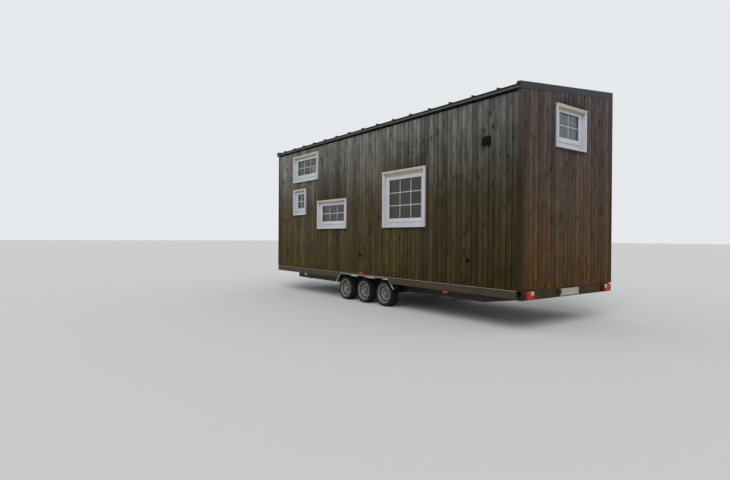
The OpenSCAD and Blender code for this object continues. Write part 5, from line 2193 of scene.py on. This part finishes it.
@dataclass
class JockeyWheel:
    """The wind-up nose wheel beside the drawbar."""

    middle: Pair = (-3.740, 0.138)
    tube_r: float = 0.030
    tube_low: float = 0.268
    tube_high: float = 0.688
    screw_h: float = 0.060
    crank_l: float = 0.150
    crank_t: float = 0.018
    grip_h: float = 0.090
    cheek_y: float = 0.033
    cheek_t: float = 0.010
    cheek_foot: float = 0.1495
    wheel_r: float = 0.075
    hub_z: float = 0.190

    def build(self) -> None:
        """Builds tube, screw, crank, fork and rubber wheel."""
        x, y = self.middle
        shape = Shape()
        half, r = self.crank_t / 2, self.tube_r
        crank_z = self.tube_high + self.screw_h
        foot, top = self.cheek_foot, self.tube_low + self.cheek_t
        shape.rod((x, y, self.tube_low), (x, y, self.tube_high), r, 0.003, 0, 32)
        shape.rod((x, y, self.tube_high), (x, y, crank_z), half, 0.001, 0, 16)
        shape.block((x - half, y - half, crank_z), (x + self.crank_l, y + half, crank_z + 2 * half), 0.003)
        at, low = x + self.crank_l - half, crank_z + 2 * half
        shape.rod((at, y, low), (at, y, low + self.grip_h), 1.4 * half, 0.003, 1, 20)
        for side in (-1, 1):
            near = y + side * self.cheek_y
            cheek = [
                (x - r, near, top),
                (x + r, near, top),
                (x + r * 0.6, near, foot),
                (x - r * 0.6, near, foot),
            ]
            shape.prism(cheek, (0, side * self.cheek_t, 0), 0.0015)
        out = self.cheek_y + self.cheek_t
        shape.block((x - r, y - out, self.tube_low), (x + r, y + out, top), 0.0015)
        pin = self.cheek_y + self.cheek_t / 2
        shape.rod((x, y - pin, self.hub_z), (x, y + pin, self.hub_z), 0.008, 0.001, 0, 16)
        tyre = Shape()
        r = self.wheel_r
        ring = [(0.044, 0.022), (0.060, 0.028), (r - 0.003, 0.022), (r, 0.012), (r, -0.012)]
        ring += [(r - 0.003, -0.022), (0.060, -0.028), (0.044, -0.022)]
        tyre.revolve(ring, 48, 1)
        hub = [(0.0085, 0.030), (0.020, 0.030), (0.022, 0.012), (0.043, 0.018), (0.0438, -0.018)]
        hub += [(0.022, -0.012), (0.020, -0.030), (0.0085, -0.030)]
        tyre.revolve(hub, 48, 0)
        place = Matrix.Translation((x, y, self.hub_z)) @ Matrix.Rotation(math.radians(90), 4, "X")
        shape.add(tyre, place)
        piece = shape.build("nose_wheel", [Finishes.zinc, Finishes.rubber])
        hand_over(piece, ("jockey_wheel",))


@dataclass
class Carried:
    """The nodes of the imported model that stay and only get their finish."""

    eases: ClassVar[dict[str, tuple[Finish, float]]] = {
        "main_beams": (Finishes.beams, 0.003),
        "cross_members": (Finishes.beams, 0.003),
        "side_rails": (Finishes.steel, 0.0015),
        "rear_bumper": (Finishes.bumper, 0.004),
        "drawbar": (Finishes.beams, 0.005),
        "coupling_head": (Finishes.iron, 0.003),
        "front_axle": (Finishes.beams, 0.003),
        "middle_axle": (Finishes.beams, 0.003),
        "rear_axle": (Finishes.beams, 0.003),
        "left_mudguard": (Finishes.guard, 0.0012),
        "right_mudguard": (Finishes.guard, 0.0012),
        "plate_lamp": (Finishes.plastic, 0.003),
        "floor_deck": (Finishes.floor_planks, 0.002),
        "loft_floors": (Finishes.floor_planks, 0.002),
        "roof_deck": (Finishes.roof_planks, 0.002),
        "roof_sheet": (Finishes.sheet, 0.0015),
        # The black strip under the fascia, which also stands as painted shadow there.
        "eave_vent": (Finishes.seal, 0.001),
        "high_flashing": (Finishes.sheet, 0.002),
        "verge_flashings": (Finishes.sheet, 0.002),
        "corner_boards": (Finishes.trim, 0.0008),
        "air_cowl": (Finishes.seal, 0.002),
        "wall_inlets": (Finishes.seal, 0.001),
    }

    def build(self) -> None:
        """Dresses each node."""
        for node, (finish, ease) in self.eases.items():
            dress(node, finish, ease)


@dataclass
class Studio:
    """Plain pale floor, soft light and the camera at the photograph's angle."""

    camera_at: Point = (8.307, -6.887, 1.293)
    turn: float = 53.43
    tilt: float = -0.31
    roll: float = 0.36
    lens: float = 24.05
    sensor: float = 36.0
    far: float = 400.0
    floor_half: float = 150.0
    floor_colour: str = "#dcdcd9"
    world_colour: str = "#e6e9ec"
    world_strength: float = 0.72
    key_strength: float = 1.1
    key_from: Point = (5.0, -5.5, 7.0)
    key_angle: float = 40.0

    def camera(self) -> None:
        """Puts the camera where the photograph was taken from."""
        data = bpy.data.cameras.new("camera")
        data.lens = self.lens
        data.sensor_width = self.sensor
        data.clip_end = self.far
        camera = bpy.data.objects.new("camera", data)
        turns = (
            Matrix.Rotation(math.radians(self.turn), 4, "Z")
            @ Matrix.Rotation(math.radians(90 + self.tilt), 4, "X")
            @ Matrix.Rotation(math.radians(self.roll), 4, "Z")
        )
        camera.matrix_world = Matrix.Translation(self.camera_at) @ turns
        bpy.context.scene.collection.objects.link(camera)
        bpy.context.scene.camera = camera

    def floor(self) -> None:
        """Lays the pale floor, which isn't part of the object."""
        shape = Shape()
        bmesh.ops.create_grid(shape.bm, x_segments=1, y_segments=1, size=self.floor_half)
        floor = shape.build("studio_floor", [])
        material = bpy.data.materials.new("pale_floor")
        material.use_nodes = True
        shader = material.node_tree.nodes["Principled BSDF"]
        shader.inputs["Base Color"].default_value = linear(self.floor_colour)
        shader.inputs["Roughness"].default_value = 0.9
        floor.data.materials.append(material)

    def light(self) -> None:
        """Sets the even world light, its pale background and one wide soft lamp."""
        world = bpy.data.worlds.new("studio")
        bpy.context.scene.world = world
        world.use_nodes = True
        tree = world.node_tree
        tree.nodes.clear()
        rays = add_node(tree, "LightPath").outputs
        seen = rays["Is Camera Ray"]
        for kind in ("Is Glossy Ray", "Is Transmission Ray"):
            seen = add_node(tree, "Math", {0: seen, 1: rays[kind]}, operation="MAXIMUM").outputs[0]
        colour = linear(self.world_colour)
        lit, back = (
            add_node(tree, "Background", {"Color": colour, "Strength": strength}).outputs[0]
            for strength in (self.world_strength, 1.0)
        )
        mix = add_node(tree, "MixShader", {0: seen, 1: lit, 2: back}).outputs[0]
        add_node(tree, "OutputWorld", {"Surface": mix})
        data = bpy.data.lights.new("key", "SUN")
        data.energy = self.key_strength
        data.angle = math.radians(self.key_angle)
        key = bpy.data.objects.new("key", data)
        key.rotation_euler = Vector(self.key_from).to_track_quat("Z", "Y").to_euler()
        bpy.context.scene.collection.objects.link(key)

    def build(self) -> None:
        """Sets up camera, floor and light."""
        bpy.context.scene.view_settings.view_transform = "Standard"
        self.camera()
        self.floor()
        self.light()
        log.info("studio: camera at %s", self.camera_at)


def main() -> None:
    """Builds the studio and every sub-assembly in order."""
    logging.basicConfig(level=logging.INFO, format="%(name)s: %(message)s")
    body = Body.from_frame()
    Studio().build()
    for side in Side:
        Wall(body, side).build()
    Eave(body).build()
    WindowGroup(body, "left", (Side.LEFT,)).build()
    WindowGroup(body, "right", (Side.RIGHT,)).build()
    WindowGroup(body, "end", (Side.REAR, Side.FRONT), Finishes.bare_glass).build()
    Door(body).build()
    Wheels().build()
    Lamps(body).build()
    JockeyWheel().build()
    Carried().build()


if __name__ == "__main__":
    main()
